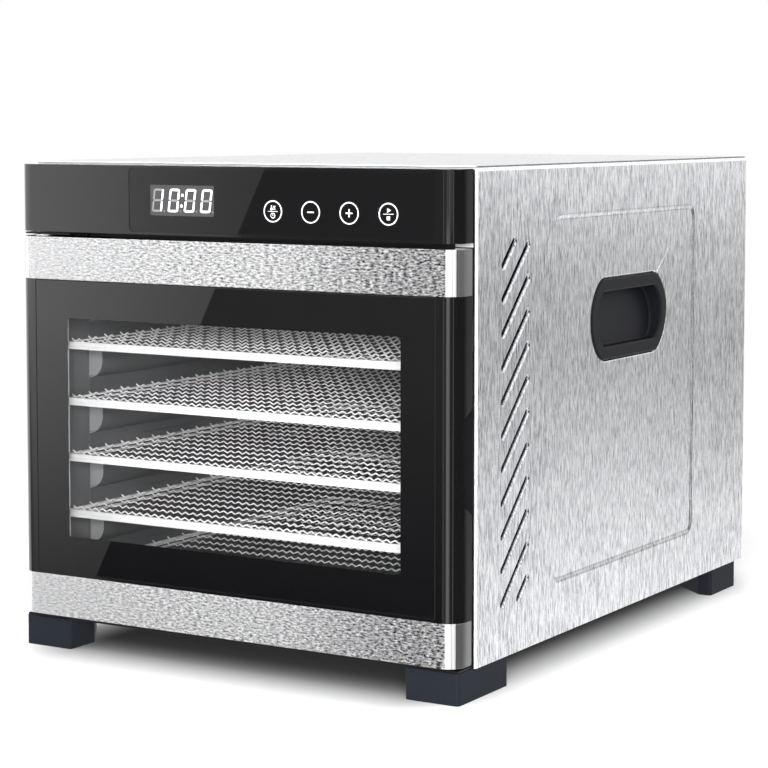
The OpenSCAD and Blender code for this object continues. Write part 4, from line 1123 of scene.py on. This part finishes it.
# the round reflectors: their angles, how far off they stand, and their light upwards
SCREENS = {
    "card_strip_left": (-8, 8, 1.5, [(0.0, 0.24), (1.0, 0.24)]),
    "card_strip": (8, 23, 1.5, [(0.0, 1.6), (0.73, 1.6), (0.76, 0.62), (1.0, 0.62)]),
    "card_strip_right": (29, 46, 1.5, [(0.0, 0.13), (0.73, 0.13), (0.76, 0.5), (1.0, 0.5)]),
    "card_right": (50, 124, 2.6, [(0.0, 0.06), (0.999, 0.07), (1.0, 1.2)]),
    "card_recess": (124, 131, 2.6, [(0.0, 1.1), (1.0, 1.1)]),
    "card_beside": (131, 145, 2.6, [(0.0, 0.12), (0.999, 0.14), (1.0, 1.0)]),
    "card_behind": (145, 182, 2.6, [(0.1, 1.27), (0.3, 1.03), (0.45, 0.68), (0.58, 0.47),
                                    (0.7, 0.7), (0.8, 1.05)]),
}


class DEHYDRATOR_OT_stage(bpy.types.Operator):
    """Sets up the floor, the light, the reflectors and the camera"""
    bl_idname = "dehydrator.stage"
    bl_label = "Stage"

    def execute(self, context):
        scene = context.scene
        scene.view_settings.view_transform = "Standard"
        world = bpy.data.worlds.new("Studio")
        world.use_nodes = True
        scene.world = world
        f = Finish("Studio", world.node_tree)
        camera_ray, glossy_ray, through_ray = (
            f.add("LightPath", output=name)
            for name in ("Is Camera Ray", "Is Glossy Ray", "Is Transmission Ray"))
        level = 0.6 + camera_ray.highest(glossy_ray).highest(through_ray) * 0.4
        f.out(f.add("Background", None, {"Color": WHITE, "Strength": level}), "OutputWorld")

        # floor: pale, keeps the shadow, with a painted shadow right under the cabinet, fades into
        # the white behind
        bm = bmesh.new()
        bmesh.ops.create_circle(bm, cap_ends=True, segments=96, radius=6.0)
        mesh = mesh_of(bm, "floor")
        floor = in_scene("floor", mesh)
        f = Finish("floor")
        x, y, _ = f.axes()
        fade = (x * x + y * y).root().ramp(0.5, 1.0)
        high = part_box("outer_shell")[1]
        across, along = ((abs(place) - (edge - inset)).highest(0.0) / reach
                         for place, edge, inset, reach in ((x, high.x, 0.044, 0.065),
                                                           (y, high.y, 0.040, 0.110)))
        # painted shadow: the floor's colour and its lift darken towards the cabinet's footprint
        shade = 0.05 + (across * across + along * along).root().ramp(0.0, 1.0) * 0.95
        bare = f.add("BsdfDiffuse", None, {"Color": f.tint((0.94, 0.94, 0.945), shade)})
        camera_ray = f.add("LightPath", output="Is Camera Ray")
        lift = f.add("Emission", None, {"Color": f.tint(WHITE, camera_ray * shade),
                                        "Strength": 0.3})
        paper = f.add("AddShader", None, {0: bare, 1: lift})
        clear = f.add("BsdfTransparent")
        mesh.materials.append(f.out(f.add("MixShader", None, {0: fade, 1: paper, 2: clear})))
        floor.visible_glossy = False

        # reflectors: a bright wall to the left of the door that ends in a slanted edge, a dark one
        # beside it, two bright strips for the rounded ends, and the room to the right and behind
        foot, top = ROOM
        edge = [(-1.8725, foot), (-0.95, 0.345)]
        card("card_left", flat_card([(-6.0, foot), *edge, (-0.95, top), (-6.0, top)]),
             [(0.0, 0.12), (0.33, 0.36), (0.63, 1.3), (0.75, 1.4), (1.0, 1.4)], (-1.5, -0.9, 0.38))
        card("card_dark", flat_card([edge[0], (-0.14, foot), (-0.14, top), (-0.95, top), edge[1]]),
             [(0.0, 0.0), (0.32, 0.02), (0.6, 0.17), (1.0, 0.17)])
        for name, (start, end, reach, stops) in SCREENS.items():
            card(name, screen(start, end, reach), stops)
        card("card_under", level_card(-1.6), [(0.0, 0.8), (1.0, 0.8)])
        card("card_over", level_card(4.1), [(0.0, 1.0), (1.0, 1.0)])

        lamp("key", (-1.1, -1.7, 2.1), (0, 0, 0.15), 1.4, 1.4, 30.0)
        lamp("window_fill", (0.9, -1.5, 0.45), (-0.05, -0.15, 0.15), 0.5, 0.4, 34.0)
        lamp("side_fill", (2.0, 0.6, 1.4), (0.1, 0, 0.1), 1.2, 1.2, 7.0)

        data = bpy.data.cameras.new("camera")
        data.lens = 109.202
        data.sensor_width = 36.0
        data.shift_y = -0.12
        data.dof.use_dof = False
        camera = in_scene("camera", data)
        camera.location = (0.839785, -1.42552, 0.353496)
        tilt, turn = 90 - 4.268, 31.058
        camera.rotation_euler = (math.radians(tilt), 0.0, math.radians(turn))
        scene.camera = camera
        return {"FINISHED"}


class DEHYDRATOR_OT_finishes(bpy.types.Operator):
    """Makes the finishes and gives them to the CAD nodes"""
    bl_idname = "dehydrator.finishes"
    bl_label = "Finishes"

    def execute(self, context):
        s = context.scene.dehydrator_sizes
        low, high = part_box("door_glass")
        middle = (low + high) / 2
        WINDOW.update(x=middle.x + s.window_x * MM, y=middle.y, z=middle.z + 0.15 * MM,
                      half_x=s.window_w / 2 * MM, half_z=s.window_h / 2 * MM,
                      clear=high.y - low.y)
        shell_low, shell_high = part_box("outer_shell")
        rack_low, rack_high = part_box("right_rack")
        PLACES.update(rack=rack_high.x, rack_front=rack_low.y, hem=shell_low.y,
                      trim=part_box("door_top_trim")[1].x, top=shell_high.z,
                      bend=shell_high.z - s.corner_r * MM)
        make_finishes()
        return {"FINISHED"}


class DEHYDRATOR_PT_panel(bpy.types.Panel):
    bl_idname = "DEHYDRATOR_PT_panel"
    bl_label = "Food dehydrator"
    bl_space_type = "VIEW_3D"
    bl_region_type = "UI"
    bl_category = "Dehydrator"

    def draw(self, context):
        for operator in OPERATORS:
            self.layout.operator(operator.bl_idname)
        for group in (context.scene.dehydrator_sizes, context.scene.dehydrator_colours):
            for name in group.__annotations__:
                self.layout.prop(group, name)


OPERATORS = (DEHYDRATOR_OT_stage, DEHYDRATOR_OT_finishes, DEHYDRATOR_OT_shell,
             DEHYDRATOR_OT_castings, DEHYDRATOR_OT_glass, DEHYDRATOR_OT_chamber,
             DEHYDRATOR_OT_controls, DEHYDRATOR_OT_trays)
CLASSES = (DehydratorSizes, DehydratorColours, *OPERATORS, DEHYDRATOR_PT_panel)


def register():
    for cls in CLASSES:
        bpy.utils.register_class(cls)
    bpy.types.Scene.dehydrator_sizes = bpy.props.PointerProperty(type=DehydratorSizes)
    bpy.types.Scene.dehydrator_colours = bpy.props.PointerProperty(type=DehydratorColours)


def unregister():
    del bpy.types.Scene.dehydrator_colours
    del bpy.types.Scene.dehydrator_sizes
    for cls in reversed(CLASSES):
        bpy.utils.unregister_class(cls)


def main():
    register()
    for operator in OPERATORS:
        group, name = operator.bl_idname.split(".")
        getattr(getattr(bpy.ops, group), name)()


if __name__ == "__main__":
    main()
